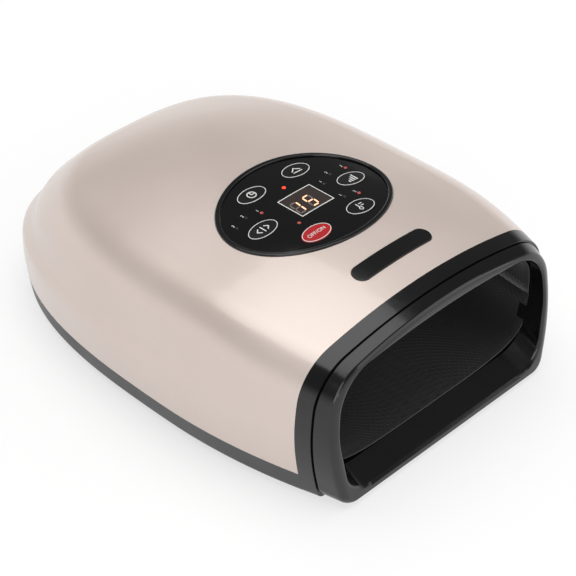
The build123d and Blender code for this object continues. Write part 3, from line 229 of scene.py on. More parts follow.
@dataclass(frozen=True)
class Knit:
    """A thin warp-knitted mesh: staggered eyelets between dull threads, on the piece's UV map in metres.

    Attributes:
        name: what the cloth really is.
        thread: colour of the thread.
        eyelet: colour seen in the eyelets.
        pitch_mm: distance of two eyelets in a row. The real 1 mm is too fine to show, so it is coarser.
        eyelet_span: heights of the crossed waves at which an eyelet starts, and at which it is open.
        eyelet_mm: depth of an eyelet, with the strength of its relief after it.
        fuzz_mm: size of the loose fibres.
        nap_mm: height of those fibres, with the strength of their relief after it.
        roughness: least and most roughness of the fibres.
        sheen: weight of the soft edge light of the fibres, with its roughness after it.
    """

    name: str
    thread: str
    eyelet: str
    pitch_mm: float = 2.2
    eyelet_span: Pair = (0.25, 0.6)
    eyelet_mm: Pair = (0.3, 0.5)
    fuzz_mm: float = 0.5
    nap_mm: Pair = (0.15, 0.3)
    roughness: Pair = (0.75, 0.95)
    sheen: Pair = (0.25, 0.5)

    def material(self) -> Material:
        """Builds the cloth as nodes.

        Returns:
            The material.
        """
        material, tree, shader = new_material(self.name)
        place = add_node(tree, "UVMap", {})
        hole = self.eyelets(tree, place)
        fuzz = add_node(
            tree, "TexNoise", {"Vector": place, "Scale": 1 / (self.fuzz_mm * MM), "Detail": GRAIN_DETAIL}
        )
        ramp = add_node(tree, "ValToRGB", {"Fac": hole})
        ramp.color_ramp.elements[0].color = linear(self.thread)
        ramp.color_ramp.elements[1].color = linear(self.eyelet)
        height, strength = self.eyelet_mm
        relief = add_node(
            tree, "Bump", {"Height": hole, "Strength": strength, "Distance": height * MM}, invert=True
        )
        height, strength = self.nap_mm
        nap = add_node(
            tree, "Bump", {"Height": fuzz, "Normal": relief, "Strength": strength, "Distance": height * MM}
        )
        rough = add_node(
            tree, "MapRange", {"Value": fuzz, "To Min": self.roughness[0], "To Max": self.roughness[1]}
        )
        feed(tree, shader, {
            "Base Color": ramp, "Roughness": rough, "Normal": nap,
            "Sheen Weight": self.sheen[0], "Sheen Roughness": self.sheen[1],
        })
        return material

    def eyelets(self, tree: Tree, place: Node) -> Node:
        """Crosses two waves, so that every second mesh of the grid opens.

        Args:
            tree: node tree of the material.
            place: the UV map.

        Returns:
            The node that gives 1 in an eyelet and 0 on the threads.
        """
        parts = add_node(tree, "SeparateXYZ", {"Vector": place})
        turns = math.tau / (self.pitch_mm * MM)
        waves = []
        for axis in ("X", "Y"):
            turn = add_node(tree, "Math", {0: parts.outputs[axis], 1: turns}, operation="MULTIPLY")
            waves.append(add_node(tree, "Math", {0: turn}, operation="SINE"))
        grid = add_node(tree, "Math", {0: waves[0], 1: waves[1]}, operation="MULTIPLY")
        least, most = self.eyelet_span
        return add_node(tree, "MapRange", {"Value": grid, "From Min": least, "From Max": most})


class Look(Enum):
    """The finish of each kind of part."""

    # Champagne car paint on ABS: aluminium flakes under a thin clear coat give a wide soft sheen.
    SHELL_PAINT = Finish(
        "champagne_flake_paint", "#E0D1C9", "#D9C9BF", roughness=0.36, metallic=0.31, coat=0.5,
        coat_roughness=0.06, grain_mm=0.9, grain_depth=0.05, cloud_mm=60.0,
    )
    # Dark ABS moulded against an etched steel tool: matt, with a fine even grain.
    SKIRT_ABS = Finish(
        "etched_dark_abs", "#464749", "#3C3D3F", roughness=0.45, grain_mm=0.9, grain_depth=0.25
    )
    # Black ABS from a polished tool: deep gloss with a faint ripple.
    GLOSS_ABS = Finish(
        "polished_black_abs", "#121213", "#0C0C0D", roughness=0.16, coat=0.2, coat_roughness=0.05,
        grain_mm=4.0, grain_depth=0.03,
    )
    # Printed acrylic window, black from behind and flat-polished in front.
    LENS_ACRYLIC = Finish(
        "black_printed_acrylic", "#0B0B0C", "#080809", roughness=0.09, coat=0.2, coat_roughness=0.03,
        grain_mm=6.0, grain_depth=0.015,
    )
    # Smoked acrylic over the digits: brown-black, with a clear polish.
    SMOKED_ACRYLIC = Finish(
        "smoked_acrylic", "#3C3330", "#332B29", roughness=0.1, coat=0.4, grain_mm=6.0, grain_depth=0.01
    )
    # Key caps: black and red ABS, a little softer in gloss than the window.
    KEY_BLACK = Finish(
        "black_key_abs", "#141416", "#0E0E10", roughness=0.2, coat=0.3, grain_mm=2.0, grain_depth=0.04
    )
    KEY_RED = Finish(
        "red_key_abs", "#C21F26", "#A8151C", roughness=0.24, coat=0.4, grain_mm=2.0, grain_depth=0.04
    )
    # White screen print: flat, with slightly uneven ink.
    WHITE_PRINT = Finish(
        "white_screen_print", "#E9E9E6", "#D4D4D1", roughness=0.6, grain_mm=0.3, grain_depth=0.2
    )
    # Polycarbonate lamp lenses and digit bars: smooth, and lit, faintly lit or dark from within.
    LAMP_LIT = Finish("lit_red_lamp", "#FF3B22", "#FF2A14", roughness=0.3, grain_mm=0.6, glow=2.4)
    LAMP_SOFT = Finish("softly_lit_red_lamp", "#B84A44", "#963632", roughness=0.3, grain_mm=0.6, glow=0.25)
    LAMP_DARK = Finish("unlit_red_lamp", "#2B1716", "#1E1010", roughness=0.25, grain_mm=0.6)
    DIGIT_LIT = Finish("lit_orange_segment", "#FFC7A0", "#FFAE80", roughness=0.3, grain_mm=0.6, glow=0.9)
    DIGIT_DARK = Finish("unlit_segment", "#7C7470", "#6A625F", roughness=0.4, grain_mm=0.6)
    # Solder mask over copper, and epoxy moulded round the chips: smooth green, and matt black.
    BOARD = Finish(
        "green_solder_mask", "#1E5B34", "#174A2A", roughness=0.35, coat=0.3, grain_mm=1.2, grain_depth=0.15
    )
    CHIP = Finish("black_moulded_epoxy", "#1C1C1E", "#141416", roughness=0.5, grain_mm=0.5, grain_depth=0.2)
    # Brushed steel: fine lines that draw its gloss out. Zinc plating: brighter, a little cloudy.
    STEEL = Finish(
        "brushed_steel", "#B9BABC", "#A3A4A6", roughness=0.3, metallic=1.0, grain_mm=0.4, grain_depth=0.2,
        stretch=(1.0, 8.0, 1.0),
    )
    ZINC_SCREW = Finish(
        "zinc_plated_steel", "#C2C3C4", "#9EA0A3", roughness=0.28, metallic=1.0, grain_mm=0.5
    )
    # Unpainted mouldings inside: ivory ABS and waxy grey polypropylene.
    INNER_ABS = Finish("natural_abs", "#D8D6CE", "#C9C7BF", roughness=0.5, grain_mm=0.8, grain_depth=0.12)
    PAD_PP = Finish(
        "grey_polypropylene", "#A9A9A6", "#9A9A97", roughness=0.42, grain_mm=1.0, grain_depth=0.1
    )
    # Silicone: dull black feet and grommets, and milky hoses.
    RUBBER = Finish(
        "black_silicone_rubber", "#1E1E1F", "#161617", roughness=0.7, grain_mm=0.7, grain_depth=0.3
    )
    HOSE = Finish(
        "translucent_silicone_hose", "#C9C8C2", "#BDBCB5", roughness=0.35, grain_mm=1.5, grain_depth=0.05
    )
    # Films: welded grey TPU with a leathery relief, and glossy amber polyimide.
    AIRBAG = Finish(
        "grey_tpu_film", "#5A5B5E", "#4C4D50", roughness=0.4, coat=0.2, grain_mm=1.4, grain_depth=0.25
    )
    FILM = Finish("amber_polyimide_film", "#B5671E", "#9E5515", roughness=0.3, coat=0.3, grain_mm=3.0)
    # Warp-knitted polyester: dull black threads round open meshes.
    LINER_KNIT = Knit("black_mesh_knit", "#18181A", "#070708")
    # PVC sheath: extruded, softly matt.
    CABLE = Finish("black_pvc_sheath", "#19191A", "#121213", roughness=0.45, grain_mm=0.8, grain_depth=0.1)


NODE_LOOKS: dict[Look, tuple[str, ...]] = {
    Look.SHELL_PAINT: ("top_cover",),
    Look.SKIRT_ABS: ("bottom_cover",),
    Look.GLOSS_ABS: ("front_frame", "mouth_bezel", "panel_frame", "badge_plate", "dc_inlet"),
    Look.LENS_ACRYLIC: ("panel_lens",),
    Look.SMOKED_ACRYLIC: ("display_window",),
    Look.KEY_BLACK: ("key_timer", "key_release", "key_pressure", "key_mode", "key_heat"),
    Look.KEY_RED: ("key_power",),
    Look.LAMP_DARK: ("light_pipes",),
    Look.WHITE_PRINT: ("indicator_lamps",),
    Look.BOARD: ("control_board", "power_board"),
    Look.CHIP: ("board_chips", "display_module", "pump_bracket", "valve_inflate", "valve_vent"),
    Look.STEEL: (
        "tact_switches", "pump_motor", "pump_rotor", "valve_core_inflate", "valve_core_vent",
        "valve_spring_inflate", "valve_spring_vent", "thermal_cutout",
    ),
    Look.ZINC_SCREW: ("case_screws", "chassis_screws", "control_board_screws", "power_board_screws"),
    Look.INNER_ABS: ("upper_chassis", "lower_massage_plate", "pump_head", "air_manifold", "airbag_fitting"),
    Look.PAD_PP: (
        "upper_massage_pad", "plunger_timer", "plunger_release", "plunger_pressure", "plunger_mode",
        "plunger_power", "plunger_heat",
    ),
    Look.RUBBER: ("rubber_feet", "pump_grommets"),
    Look.HOSE: ("hose_pump", "hose_airbag"),
    Look.AIRBAG: ("upper_airbag", "liner_roof", "liner_sleeve", "liner_throat"),
    Look.FILM: ("heating_film",),
    Look.CABLE: ("cable_control", "cable_power"),
}


class Wardrobe:
    """Makes each finish once and puts it on the parts."""

    def __init__(self) -> None:
        """Starts with no finish made."""
        self.made: dict[Look, Material] = {}

    def get(self, look: Look) -> Material:
        """Returns the material of a look, built on first use."""
        if look not in self.made:
            self.made[look] = look.value.material()
        return self.made[look]

    def put_on(self, piece: Piece, look: Look) -> None:
        """Gives a whole piece one look."""
        piece.data.materials.clear()
        piece.data.materials.append(self.get(look))

    def dress_nodes(self) -> None:
        """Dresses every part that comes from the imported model."""
        for look, names in NODE_LOOKS.items():
            for name in names:
                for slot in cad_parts[name].material_slots:
                    slot.material = self.get(look)
            LOG.info("%s on %s", look.value.name, ", ".join(names))


def pick(piece: Piece) -> None:
    """Makes one object the only selected and the active one.

    Args:
        piece: object to work on.
    """
    bpy.ops.object.select_all(action="DESELECT")
    piece.select_set(True)
    bpy.context.view_layer.objects.active = piece


@contextmanager
def editing(piece: Piece) -> Iterator[None]:
    """Opens a mesh in edit mode with all of it selected, and closes it again.

    Args:
        piece: mesh to edit.

    Yields:
        Nothing, while the mesh is open.
    """
    pick(piece)
    bpy.ops.object.mode_set(mode="EDIT")
    bpy.ops.mesh.select_all(action="SELECT")
    yield
    bpy.ops.object.mode_set(mode="OBJECT")


def added(name: str) -> Piece:
    """Names the object that an operator has just added, and leaves it selected alone.

    Args:
        name: name of the object and of its mesh.

    Returns:
        The object.
    """
    piece = bpy.context.object
    piece.name = piece.data.name = name
    pick(piece)
    return piece


def settle(piece: Piece) -> Piece:
    """Moves an object's place into its mesh.

    Args:
        piece: object with a placement of its own.

    Returns:
        The same object, at the origin.
    """
    pick(piece)
    bpy.ops.object.transform_apply(location=True, rotation=True, scale=True)
    return piece


def finish_with(piece: Piece, kind: str, **settings: object) -> None:
    """Adds a modifier and applies it at once.

    Args:
        piece: object to finish.
        kind: modifier type.
        **settings: the modifier's own properties.
    """
    pick(piece)
    modifier = piece.modifiers.new(kind.lower(), kind)
    for name, setting in settings.items():
        setattr(modifier, name, setting)
    bpy.ops.object.modifier_apply(modifier=modifier.name)


def joined(name: str, parts: list[Piece]) -> Piece:
    """Joins several meshes into one piece.

    Args:
        name: name of the piece.
        parts: meshes to join.

    Returns:
        The piece.
    """
    pick(parts[0])
    for part in parts:
        part.select_set(True)
    if len(parts) > 1:
        bpy.ops.object.join()
    return added(name)


def middle_of(node: str) -> tuple[Vector, Vector]:
    """Returns the middle of a CAD node's box, and half of the box's size."""
    low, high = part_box(node)
    return (low + high) / 2, (high - low) / 2


def flat_bar(middle: Vector, half: Pair, turn: float = 0.0, point: float = 0.0) -> Piece:
    """Models a thin flat bar in the plane z = 0.

    Args:
        middle: its middle in plan.
        half: half of its length and of its width.
        turn: angle in the plane, in radians.
        point: how far its corners are cut back.

    Returns:
        The bar.
    """
    bpy.ops.mesh.primitive_plane_add(size=2.0, location=(*middle.xy, 0), rotation=(0, 0, turn))
    bar = added("bar")
    bar.scale = (*half, 1)
    settle(bar)
    if point:
        with editing(bar):
            bpy.ops.mesh.bevel(offset=point, affect="VERTICES", segments=1)
    return bar


def flat_band(middle: Vector, half: Pair, width: float, steps: int = 64) -> Piece:
    """Models a thin flat oval band in the plane z = 0.

    Args:
        middle: its middle in plan.
        half: half of its outside across and along.
        width: width of the band.
        steps: corners round the outline.

    Returns:
        The band.
    """
    bpy.ops.mesh.primitive_circle_add(vertices=steps, fill_type="NGON", location=(*middle.xy, 0))
    band = added("band")
    band.scale = (*half, 1)
    settle(band)
    hollow(band, width)
    return band


def hollow(piece: Piece, width: float) -> None:
    """Leaves only a border of a flat face.

    Args:
        piece: object with one flat face.
        width: width of the border.
    """
    with editing(piece):
        bpy.ops.mesh.inset(thickness=width, depth=0)
        bpy.ops.mesh.delete(type="FACE")


def lettering(text: str, middle: Vector, size: float) -> Piece:
    """Models flat type in the plane z = 0.

    Args:
        text: plain number or switch word.
        middle: its middle in plan.
        size: type size.

    Returns:
        The type, as a mesh.
    """
    bpy.ops.object.text_add(location=(*middle.xy, 0))
    word = added("type")
    word.data.body, word.data.size = text, size
    word.data.align_x = word.data.align_y = "CENTER"
    bpy.ops.object.convert(target="MESH")
    return settle(bpy.context.object)


def on_panel(place_mm: Pair) -> Vector:
    """Returns a place in plan that is measured in millimetres from the joint of cover and front frame."""
    return Vector((place_mm[0] * MM, place_mm[1] * MM + SHIFT_Y))


class Ground:
    """The upper surface of some parts, for what lies on it."""

    def __init__(self, *nodes: str) -> None:
        """Reads the meshes of the named parts."""
        meshes = [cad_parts[name].data for name in nodes]
        self.trees = [
            BVHTree.FromPolygons(
                [vertex.co for vertex in mesh.vertices], [face.vertices[:] for face in mesh.polygons]
            )
            for mesh in meshes
        ]

    def height(self, x: float, y: float) -> float:
        """Returns the height of the surface at a place, seen from a metre above, or 0 beside it."""
        hits = [tree.ray_cast(Vector((x, y, 1)), Vector((0, 0, -1)))[0] for tree in self.trees]
        return max((hit.z for hit in hits if hit), default=0.0)

    def lay(self, piece: Piece, lift: float, thickness: float) -> None:
        """Bends a flat piece over the surface and gives it its thickness.

        Args:
            piece: flat mesh in the plane z = 0.
            lift: gap under the piece.
            thickness: thickness of the piece.
        """
        finish_with(piece, "SOLIDIFY", thickness=thickness, offset=1.0)
        for vertex in piece.data.vertices:
            vertex.co.z += self.height(vertex.co.x, vertex.co.y) + lift


@dataclass(frozen=True)
class Sign:
    """The sign on a key, in millimetres from the middle of its cap.

    Attributes:
        bars: middle across and along, half length, half width, and turn in degrees, of each bar.
        rings: middle across and along, radius, width, and corners round the outline, of each ring.
        words: the words of a switch.
        size: how much the drawing is enlarged, or the size of the words.
    """

    bars: tuple[tuple[float, float, float, float, float], ...] = ()
    rings: tuple[tuple[float, float, float, float, int], ...] = ()
    words: str = ""
    size: float = 1.45

    def model(self, middle: Vector) -> list[Piece]:
        """Models the sign in the plane z = 0.

        Args:
            middle: middle of the cap.

        Returns:
            Its parts.
        """
        unit = self.size * MM
        parts = [
            flat_band(middle.xy + Vector(place) * unit, (radius * unit, radius * unit), width * unit, steps)
            for *place, radius, width, steps in self.rings
        ]
        parts += [
            flat_bar(middle.xy + Vector(place) * unit, (length * unit, width * unit), math.radians(turn))
            for *place, length, width, turn in self.bars
        ]
        return parts + ([lettering(self.words, middle, unit)] if self.words else [])


class Key(Enum):
    """The keys, each with its sign."""

    # Clock face with two hands.
    TIMER = Sign(bars=((0, 0.62, 0.2, 0.82, 0), (0.62, 0, 0.62, 0.2, 0)), rings=((0, 0, 1.75, 0.4, 32),))
    # Wedge over a bar, as for letting the air out.
    RELEASE = Sign(bars=((-0.86, 0.5, 1.3, 0.2, 40), (0.86, 0.5, 1.3, 0.2, -40), (0, -1.1, 2.0, 0.2, 0)))
    # Two wedges that point at a bar between them.
    PRESSURE = Sign(
        bars=(
            (0, 0, 0.2, 1.5, 0), (-1.9, 0.55, 0.9, 0.2, 45), (-1.9, -0.55, 0.9, 0.2, -45),
            (1.9, 0.55, 0.9, 0.2, -45), (1.9, -0.55, 0.9, 0.2, 45),
        )
    )
    # Four bars of growing height.
    MODE = Sign(
        bars=(
            (-1.65, -1.2, 0.28, 0.5, 0), (-0.55, -0.8, 0.28, 0.9, 0), (0.55, -0.4, 0.28, 1.3, 0),
            (1.65, 0, 0.28, 1.7, 0),
        )
    )
    # The two words of a switch.
    POWER = Sign(words="OFF/ON", size=3.1)
    # Thermometer: bulb, stem and two marks.
    HEAT = Sign(
        bars=((-0.6, 0.7, 0.2, 1.1, 0), (1.0, 1.3, 0.7, 0.2, 0), (1.0, 0.2, 0.7, 0.2, 0)),
        rings=((-0.6, -1.0, 0.85, 0.32, 24),),
    )


@dataclass(frozen=True)
class Lenses:
    """Lamp lenses of one kind.

    Attributes:
        look: their finish.
        radius_mm: radius in plan.
        places_mm: middles, measured from the joint of cover and front frame.
    """

    look: Look
    radius_mm: float
    places_mm: tuple[Pair, ...]


class Lamp(Enum):
    """The lamps of the panel, by how they glow."""

    LIT = Lenses(Look.LAMP_LIT, 0.95, ((0.0, 89.1),))
    SOFT = Lenses(Look.LAMP_SOFT, 0.95, ((35.9, 82.2), (23.2, 61.3), (-21.6, 82.5), (-15.3, 63.8)))
    DARK = Lenses(
        Look.LAMP_DARK, 0.85, ((16.5, 78.1), (25.3, 82.5), (15.5, 63.5), (-29.1, 85.3), (-37.1, 83.2))
    )


# Number of a step beside its lamp, and its middle, measured as the lamps are.
STEP_NUMBERS: tuple[tuple[str, float, float], ...] = (
    ("1", 16.6, 80.5), ("2", 24.8, 84.7), ("3", 35.4, 84.6), ("1", 14.9, 65.7), ("2", 22.6, 63.6),
    ("1", -21.9, 85.1), ("2", -29.5, 87.6), ("3", -37.3, 85.6),
)

# Bars of a digit by letter: columns and rows from its middle, in half lengths of a bar.
FLAT_BARS: dict[str, tuple[int, int]] = {"a": (0, 2), "g": (0, 0), "d": (0, -2)}
UPRIGHT_BARS: dict[str, tuple[int, int]] = {"f": (-1, 1), "b": (1, 1), "e": (-1, -1), "c": (1, -1)}


@dataclass
class PanelPrint:
    """White print, digits and lamp lenses of the control panel.

    Attributes:
        wardrobe: finishes.
        ink: thickness of the print.
        laid: gap under the print.
        flange: how far the hidden foot of a key reaches past its cap.
        ring_inset: gap from the edge of a cap to its ring.
        ring_width: width of that ring.
        border: gap and width of the line round the display.
        border_cuts: cuts in each side of that line, so that it follows the lens.
        digit_x: middles of the two digits across, from the middle of the display.
        digit_y: their middle along.
        digit_half: half length of a digit's bars, across and along.
        bar: half width of those bars.
        bar_point: how far their corners are cut back.
        bar_gap: how much shorter they are, at each end, than the way from corner to corner.
        lean: slant of the digits.
        dome: height of a lamp lens, as a share of its radius.
        dome_steps: steps round a lamp lens.
        step_size: type size of the step numbers.
    """

    wardrobe: Wardrobe
    ink: float = 0.08 * MM
    laid: float = 0.015 * MM
    flange: float = 1.2 * MM
    ring_inset: float = 0.25 * MM
    ring_width: float = 0.36 * MM
    border: Pair = (0.3 * MM, 0.5 * MM)
    border_cuts: int = 15
    digit_x: Pair = (-7.0 * MM, 1.5 * MM)
    digit_y: float = -1.8 * MM
    digit_half: Pair = (1.95 * MM, 2.1 * MM)
    bar: float = 0.42 * MM
    bar_point: float = 0.378 * MM
    bar_gap: float = 0.3 * MM
    lean: float = 0.1
    dome: float = 0.35
    dome_steps: int = 20
    step_size: float = 2.5 * MM

    def printed(self, name: str, parts: list[Piece], body: str, look: Look, *nodes: str) -> None:
        """Joins flat parts, lays them on their carrier and lets them ride with it.

        Args:
            name: name of the piece.
            parts: flat meshes.
            body: body that carries the piece.
            look: its finish.
            *nodes: parts whose surface it lies on.
        """
        piece = joined(name, parts)
        Ground(*nodes).lay(piece, self.laid, self.ink)
        self.wardrobe.put_on(piece, look)
        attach(piece, body)
        LOG.info("%s on %s", name, body)

    def key(self, kind: Key) -> None:
        """Prints the ring and the sign of one key.

        Args:
            kind: the key.
        """
        node = "key_" + kind.name.lower()
        middle, half = middle_of(node)
        inset = self.flange + self.ring_inset
        signs = kind.value.model(middle)
        ring = flat_band(middle, (half.x - inset, half.y - inset), self.ring_width)
        self.printed(f"print_{node}", [ring, *signs], node + "_body", Look.WHITE_PRINT, node)

    def outline(self) -> None:
        """Prints the line round the display."""
        middle, half = middle_of("display_window")
        reach = sum(self.border)
        border = flat_bar(middle, (half.x + reach, half.y + reach))
        hollow(border, self.border[1])
        with editing(border):
            bpy.ops.mesh.subdivide(number_cuts=self.border_cuts)
        self.printed("print_display", [border], "case", Look.WHITE_PRINT, "panel_lens")

    def digits(self) -> None:
        """Lights two digits in the display, with their dark bars beside."""
        middle = middle_of("display_window")[0]
        for name, look, marks in (
            ("display_digits", Look.DIGIT_LIT, ("bc", "acdfg")),
            ("display_dark_bars", Look.DIGIT_DARK, ("adefg", "be")),
        ):
            bars = [
                self.segment(middle.xy + Vector((column, self.digit_y)), mark)
                for column, row in zip(self.digit_x, marks)
                for mark in row
            ]
            for part in bars:
                for vertex in part.data.vertices:
                    vertex.co.x += (vertex.co.y - middle.y) * self.lean
            self.printed(name, bars, "case", look, "display_window")

    def segment(self, middle: Vector, mark: str) -> Piece:
        """Models one bar of a seven-bar digit.

        Args:
            middle: middle of the digit in plan.
            mark: letter of the bar, a to g.

        Returns:
            The bar.
        """
        column, row = {**FLAT_BARS, **UPRIGHT_BARS}[mark]
        half_x, half_y = self.digit_half
        place = middle + Vector((column * half_x, row * half_y))
        half = (half_x - self.bar_gap, self.bar) if mark in FLAT_BARS else (self.bar, half_y - self.bar_gap)
        return flat_bar(place, half, point=self.bar_point)

    def lenses(self, kind: Lamp) -> None:
        """Sets a small domed lens on each light pipe of one kind.

        Args:
            kind: how the lamps glow.
        """
        ground = Ground("panel_lens", "light_pipes")
        domes = []
        for place_mm in kind.value.places_mm:
            x, y = on_panel(place_mm)
            bpy.ops.mesh.primitive_uv_sphere_add(
                segments=self.dome_steps, ring_count=self.dome_steps // 2,
                radius=kind.value.radius_mm * MM,
            )
            dome = added("dome")
            with editing(dome):
                bpy.ops.mesh.bisect(
                    plane_co=(0, 0, 0), plane_no=(0, 0, 1), clear_inner=True, use_fill=True
                )
            dome.scale = (1, 1, self.dome)
            dome.location = (x, y, ground.height(x, y))
            domes.append(settle(dome))
        piece = joined(f"lamp_lenses_{kind.name.lower()}", domes)
        bpy.ops.object.shade_smooth()
        self.wardrobe.put_on(piece, kind.value.look)
        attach(piece, "case")
        LOG.info("%s", piece.name)

    def step_numbers(self) -> None:
        """Prints the number of each step behind its lamp."""
        parts = [lettering(text, on_panel(place), self.step_size) for text, *place in STEP_NUMBERS]
        self.printed("print_step_numbers", parts, "case", Look.WHITE_PRINT, "panel_lens")

    def build(self) -> None:
        """Makes all print, digits and lamp lenses."""
        for kind in Key:
            self.key(kind)
        self.outline()
        self.digits()
        for kind in Lamp:
            self.lenses(kind)
        self.step_numbers()


@dataclass
class Liner:
    """Black knitted lining of the hand space: a tub on the case, and a canopy over it, shaped as the pad
    holds it down at rest.

    Attributes:
        wardrobe: finishes.
        front_y: front edge, inside the neck of the bezel.
        slope_end_y: where the canopy has come down to its roof.
        mouth_half: half width at the mouth.
        girdle_z: height at which tub and canopy meet, at the mouth and behind.
        top_z: top of the canopy, at the mouth and behind.
        floor_z: top of the tub's floor.
        plan_y: where the walls start to turn in, and the rear end.
        plan_power: squareness of the rear end in plan.
        tub_power: squareness of the tub's section.
        canopy_power: squareness of the canopy's section, at the mouth and behind.
        canopy_gap: gap between canopy and wall, at the mouth and behind.
        canopy_drop: how far the canopy's side edges hang inside the tub.
        canopy_end: gap from the canopy's rear end to the tub's.
        cloth: thickness.
        weld: distance at which the meshes of the closed rear end merge.
        across: number of meshes across.
        along: number of meshes along.
    """

    wardrobe: Wardrobe
    front_y: float = -8.6 * MM
    slope_end_y: float = 23.6 * MM
    mouth_half: float = 71.0 * MM
    girdle_z: Pair = (42.5 * MM, 47.0 * MM)
    top_z: Pair = (74.6 * MM, 53.95 * MM)
    floor_z: float = 14.0 * MM
    plan_y: Pair = (70.0 * MM, 176.0 * MM)
    plan_power: float = 3.0
    tub_power: float = 4.4
    canopy_power: Pair = (3.5, 6.0)
    canopy_gap: Pair = (0.32 * MM, 1.92 * MM)
    canopy_drop: float = 0.6 * MM
    canopy_end: float = 4 * MM
    cloth: float = 0.8 * MM
    weld: float = 0.05 * MM
    across: int = 72
    along: int = 90

    def grid(self, name: str) -> Piece:
        """Adds a plain grid whose places are set afterwards."""
        bpy.ops.mesh.primitive_grid_add(x_subdivisions=self.across, y_subdivisions=self.along, size=1.0)
        return added(name)

    def blend_at(self, y: float) -> float:
        """Returns the share from the mouth, 0, to the end of the slope, 1, eased at both ends."""
        share = min(max((y - self.front_y) / (self.slope_end_y - self.front_y), 0), 1)
        return share * share * (3 - 2 * share)

    def half_width(self, y: float, end_y: float) -> float:
        """Returns half of the width of the hand space at a place along. It is closed round at the rear."""
        share = max(y - self.plan_y[0], 0) / (end_y - self.plan_y[0])
        return self.mouth_half * max(1 - share**self.plan_power, 0) ** (1 / self.plan_power)

    def shape(
        self, sheet: Piece, middle_z: Pair, power: Pair, gap: Pair = (0.0, 0.0),
        drop: float = 0.0, end_gap: float = 0.0,
    ) -> None:
        """Bends a grid to two walls that turn over into a floor or a roof.

        Args:
            sheet: plain grid.
            middle_z: height of its middle line, at the mouth and behind.
            power: squareness of its section, at the mouth and behind.
            gap: gap from the wall of the hand space, at the mouth and behind.
            drop: how far its side edges hang below the girdle.
            end_gap: gap from the rear end of the hand space.
        """
        end = self.plan_y[1] - end_gap
        for vertex in sheet.data.vertices:
            angle = vertex.co.x * 2 * QUARTER
            y = self.front_y + (end - self.front_y) * math.sin((vertex.co.y + 0.5) * QUARTER)
            blend = self.blend_at(y)
            edge = mix(self.girdle_z, blend) - drop
            exponent = 2 / mix(power, blend)
            half = max(self.half_width(y, end) - mix(gap, blend), 0)
            x = half * math.copysign(abs(math.sin(angle)) ** exponent, angle)
            z = edge + (mix(middle_z, blend) - edge) * max(math.cos(angle), 0) ** exponent
            vertex.co = (x, y + SHIFT_Y, z)

    def cut(self, cloth: Piece, inward: bool) -> Point:
        """Measures the cloth, sets its print to real size and gives it its thickness.

        Args:
            cloth: shaped grid.
            inward: True where the faces must be turned to look into the hand space.

        Returns:
            Width and length of the blank it is cut from, and its flat area.
        """
        mesh = cloth.data
        area = sum(face.area for face in mesh.polygons)
        step = self.across + 1
        front = [vertex.co for vertex in mesh.vertices[:step]]
        width = sum((b - a).length for a, b in zip(front, front[1:]))
        middle = [mesh.vertices[i * step + self.across // 2].co for i in range(self.along + 1)]
        length = sum((b - a).length for a, b in zip(middle, middle[1:]))
        for point in mesh.uv_layers.active.data:
            point.uv = (point.uv.x * width, point.uv.y * length)
        with editing(cloth):
            bpy.ops.mesh.remove_doubles(threshold=self.weld)
            if inward:
                bpy.ops.mesh.flip_normals()
        finish_with(cloth, "SOLIDIFY", thickness=self.cloth, offset=-1.0)
        bpy.ops.object.shade_smooth()
        return width, length, area

    def tub(self) -> None:
        """Makes the floor and walls, which stay on the case."""
        tub = self.grid("liner_tub")
        self.shape(tub, (self.floor_z, self.floor_z), (self.tub_power, self.tub_power))
        width, length, area = self.cut(tub, inward=False)
        self.wardrobe.put_on(tub, Look.LINER_KNIT)
        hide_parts("liner_sleeve")
        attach(tub, "case")
        LOG.info("%s", tub.name)

    def canopy(self) -> None:
        """Makes the slope, the roof and the skirt that hangs inside the tub."""
        canopy = self.grid("liner_canopy")
        self.shape(
            canopy, self.top_z, self.canopy_power, self.canopy_gap, self.canopy_drop, self.canopy_end
        )
        width, length, area = self.cut(canopy, inward=True)
        self.wardrobe.put_on(canopy, Look.LINER_KNIT)
        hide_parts("liner_roof", "liner_throat")
        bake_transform(canopy)
        LOG.info("%s", canopy.name)

    def build(self) -> None:
        """Makes tub and canopy."""
        self.tub()
        self.canopy()


